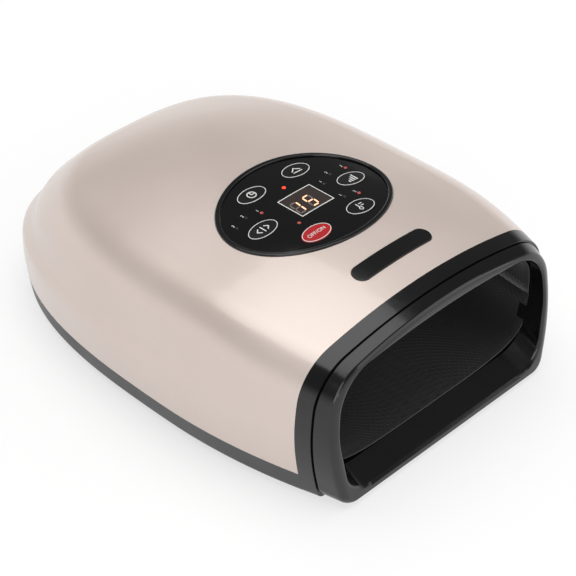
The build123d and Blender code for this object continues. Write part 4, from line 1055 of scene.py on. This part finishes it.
@dataclass
class Bladder:
    """Air bladder between chassis and massage pad: two films welded round the edge and along two channels.

    Attributes:
        wardrobe: finishes.
        meshes: number of meshes each way.
        corner: how far the corners are drawn in, as a share of their place.
        rim: width of the welded edge.
        rise: distance from a weld at which a film has its full height.
        weld: half thickness of a weld.
    """

    wardrobe: Wardrobe
    meshes: int = 60
    corner: float = 0.18
    rim: float = 2.6 * MM
    rise: float = 18.0 * MM
    weld: float = 0.4 * MM

    def lift(self, x: float, y: float, half: Vector) -> float:
        """Measures how far a film stands off the middle plane.

        Args:
            x: place across, from the middle.
            y: place along, from the middle.
            half: half of the bladder's size.

        Returns:
            The height above or below the middle plane.
        """
        inside = max((1 - max(abs(x) / half.x, abs(y) / half.y)) * min(half.x, half.y) - self.rim, 0)
        near = min(abs(abs(y) - half.y / CHAMBERS), inside)
        return self.weld + (half.z - self.weld) * math.sin(min(near / self.rise, 1) * QUARTER)

    def build(self) -> None:
        """Makes the bladder in the space of its solid."""
        middle, half = middle_of("upper_airbag")
        bpy.ops.mesh.primitive_grid_add(x_subdivisions=self.meshes, y_subdivisions=self.meshes, size=2.0)
        film = added("air_bladder")
        for vertex in film.data.vertices:
            x, y = vertex.co.x, vertex.co.y
            pull = 1 - self.corner * x * x * y * y
            vertex.co.x, vertex.co.y = x * half.x * pull, y * half.y * pull
        with editing(film):
            bpy.ops.mesh.extrude_region_move(TRANSFORM_OT_translate={"value": (0, 0, MM)})
        for vertex in film.data.vertices:
            x, y = vertex.co.x, vertex.co.y
            side = 1 if vertex.co.z > MM / 2 else -1
            vertex.co = (x + middle.x, y + middle.y, middle.z + side * self.lift(x, y, half))
        with editing(film):
            bpy.ops.mesh.normals_make_consistent(inside=False)
        bpy.ops.object.shade_smooth()
        self.wardrobe.put_on(film, Look.AIRBAG)
        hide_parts("upper_airbag")
        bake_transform(film)
        LOG.info("%s", film.name)


@dataclass
class ValveSpring:
    """Coil spring over the plunger of an air valve, as it stands with the plunger at rest.

    Attributes:
        wardrobe: finishes.
        valve: name of the valve.
        x: middle of the valve across.
        y: middle of the valve along.
        low_z: top of the plunger at rest.
        top_z: seat of the spring in the valve.
        travel: how far the plunger rises; not used.
        radius: radius of the coil.
        wire: radius of the wire.
        gap: gap between the wire and what it stands on, at both ends.
        turns: number of turns.
        steps: steps of a turn.
        sides: sides of the wire.
    """

    wardrobe: Wardrobe
    valve: str
    x: float
    y: float = 200 * MM + SHIFT_Y
    low_z: float = 17.9 * MM
    top_z: float = 24.0 * MM
    travel: float = 1.2 * MM
    radius: float = 2.1 * MM
    wire: float = 0.33 * MM
    gap: float = 0.05 * MM
    turns: int = 5
    steps: int = 20
    sides: int = 10

    def wind(self) -> Piece:
        """Winds the wire upwards from the plunger.

        Returns:
            The coil.
        """
        bpy.ops.mesh.primitive_circle_add(vertices=self.sides, radius=self.wire, rotation=(QUARTER, 0, 0))
        coil = settle(added(f"coil_spring_{self.valve}"))
        with editing(coil):
            bpy.ops.transform.translate(value=(self.radius, 0, 0))
        height = self.top_z - self.low_z - 2 * (self.wire + self.gap)
        finish_with(
            coil, "SCREW", axis="Z", angle=math.tau, iterations=self.turns,
            screw_offset=height / self.turns, steps=self.steps, render_steps=self.steps,
        )
        with editing(coil):
            bpy.ops.mesh.fill_holes(sides=0)
            bpy.ops.mesh.normals_make_consistent(inside=False)
        bpy.ops.object.shade_smooth()
        coil.location = (self.x, self.y, self.low_z + self.wire + self.gap)
        return settle(coil)

    def build(self) -> None:
        """Makes the spring in the space of its solid."""
        coil = self.wind()
        self.wardrobe.put_on(coil, Look.STEEL)
        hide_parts(f"valve_spring_{self.valve}")
        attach(coil, "case")
        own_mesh(coil)
        LOG.info("%s", coil.name)


class Softbox(Enum):
    """The studio's lamps: place, side of the square, and power."""

    OVERHEAD = ((0.0, 0.15, 1.6), 1.6, 16.5)
    LEFT = ((-1.0, -1.2, 0.8), 1.0, 6.5)
    FRONT = ((0.8, -1.2, 0.7), 0.9, 3.0)


@dataclass(frozen=True)
class Studio:
    """Pale floor, soft lamps and the camera.

    Attributes:
        eye: camera position.
        target: point that the camera looks at.
        lens_mm: focal length.
        sensor_mm: width of the sensor.
        sight: how far the camera sees.
        lit_point: point that the lamps are aimed at.
        floor_size: side of the floor.
        floor_z: height of the floor, a hair under the feet.
        floor_colour: its colour.
        floor_roughness: its roughness.
        floor_lift: share of plain white in the floor near the object, for the eye only.
        floor_reach: distances from the middle at which that share starts to grow, and is full.
        white: brightness of that white.
        ceiling: brightness of the ceiling in mirrors.
        horizon: heights of a line of sight at which white starts to fade, and has faded to the ceiling.
        fill: strength of the even light from all sides.
    """

    eye: Point = (-0.52909, -0.54703, 0.59874)
    target: Point = (-0.01324, -0.03688, 0.0465)
    lens_mm: float = 116.96
    sensor_mm: float = 36.0
    sight: float = 20.0
    lit_point: Point = (0.0, 0.0, 0.05)
    floor_size: float = 12.0
    floor_z: float = -0.2 * MM
    floor_colour: str = "#F4F4F4"
    floor_roughness: float = 0.9
    floor_lift: float = 0.6
    floor_reach: Pair = (0.1, 0.6)
    white: float = 1.05
    ceiling: float = 0.14
    horizon: Pair = (0.1, 0.38)
    fill: float = 0.39

    def seen(self, tree: Tree) -> Node:
        """Adds the nodes that give 1 to the camera and to what mirrors or lets through, and 0 to the light.

        Args:
            tree: node tree of the floor or the world.

        Returns:
            The last of them.
        """
        rays = add_node(tree, "LightPath", {}).outputs
        first = add_node(
            tree, "Math", {0: rays["Is Camera Ray"], 1: rays["Is Glossy Ray"]}, operation="MAXIMUM"
        )
        return add_node(tree, "Math", {0: first, 1: rays["Is Transmission Ray"]}, operation="MAXIMUM")

    def floor(self) -> None:
        """Lays a wide pale floor that looks white to the camera and keeps the shadow."""
        bpy.ops.mesh.primitive_plane_add(size=self.floor_size, location=(0, 0, self.floor_z))
        floor = bpy.context.object
        floor.name = "floor"
        material, tree, shader = new_material("pale_floor")
        feed(tree, shader, {"Base Color": linear(self.floor_colour), "Roughness": self.floor_roughness})
        white = add_node(tree, "Emission", {"Color": WHITE, "Strength": self.white})
        place = add_node(tree, "TexCoord", {}).outputs["Object"]
        away = add_node(tree, "VectorMath", {0: place}, operation="LENGTH")
        share = add_node(tree, "MapRange", {
            "Value": away.outputs["Value"], "To Min": self.floor_lift,
            "From Min": self.floor_reach[0], "From Max": self.floor_reach[1],
        })
        lift = add_node(tree, "Math", {0: share, 1: self.seen(tree)}, operation="MULTIPLY")
        both = add_node(tree, "MixShader", {0: lift, 1: shader, 2: white})
        feed(tree, tree.nodes["Material Output"], {"Surface": both})
        floor.data.materials.append(material)

    def lamps(self) -> None:
        """Hangs the soft boxes above, left and in front."""
        for box in Softbox:
            place, size, power = box.value
            data = bpy.data.lights.new(box.name.lower(), "AREA")
            data.energy, data.size, data.shape = power, size, "SQUARE"
            set_up(data, place, self.lit_point)

    def world(self) -> None:
        """Sets a white horizon under a dim ceiling, and a low even fill."""
        world = bpy.data.worlds.new("studio")
        bpy.context.scene.world = world
        world.use_nodes = True
        tree = world.node_tree
        place = add_node(tree, "TexCoord", {}).outputs["Generated"]
        height = add_node(tree, "SeparateXYZ", {"Vector": place}).outputs["Z"]
        ceiling = add_node(tree, "MapRange", {
            "Value": height, "From Min": self.horizon[0], "From Max": self.horizon[1],
            "To Min": 1.0, "To Max": self.ceiling,
        })
        strength = add_node(
            tree, "MapRange", {"Value": self.seen(tree), "To Min": self.fill, "To Max": ceiling}
        )
        camera = add_node(tree, "LightPath", {}).outputs["Is Camera Ray"]
        shown = add_node(tree, "Math", {0: strength, 1: camera}, operation="MAXIMUM")
        feed(tree, tree.nodes["Background"], {"Color": WHITE, "Strength": shown})

    def camera(self) -> None:
        """Places the camera."""
        data = bpy.data.cameras.new("camera")
        data.sensor_width, data.lens, data.clip_end = self.sensor_mm, self.lens_mm, self.sight
        bpy.context.scene.camera = set_up(data, self.eye, self.target)

    def build(self) -> None:
        """Sets up everything around the object."""
        self.floor()
        self.lamps()
        self.world()
        self.camera()
        bpy.context.scene.view_settings.view_transform = "Standard"


def set_up(data: bpy.types.Light | bpy.types.Camera, place: Point, target: Point) -> Piece:
    """Adds a lamp or a camera to the scene, upright and aimed.

    Args:
        data: the lamp or camera.
        place: where it stands.
        target: point that it is aimed at.

    Returns:
        Its object.
    """
    back = (Vector(place) - Vector(target)).normalized()
    right = Vector((0, 0, 1)).cross(back).normalized()
    turn = Matrix((right, back.cross(right), back)).transposed().to_4x4()
    piece = bpy.data.objects.new(data.name, data)
    bpy.context.scene.collection.objects.link(piece)
    piece.matrix_world = Matrix.Translation(place) @ turn
    return piece


def main() -> None:
    """Builds every piece in order."""
    logging.basicConfig(level=logging.INFO, format="%(message)s")
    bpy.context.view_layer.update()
    bpy.ops.object.select_all(action="DESELECT")
    wardrobe = Wardrobe()
    wardrobe.dress_nodes()
    Studio().build()
    Liner(wardrobe).build()
    Bladder(wardrobe).build()
    ValveSpring(wardrobe, "inflate", 33.5 * MM).build()
    ValveSpring(wardrobe, "vent", 46.5 * MM).build()
    PanelPrint(wardrobe).build()


if __name__ == "__main__":
    main()
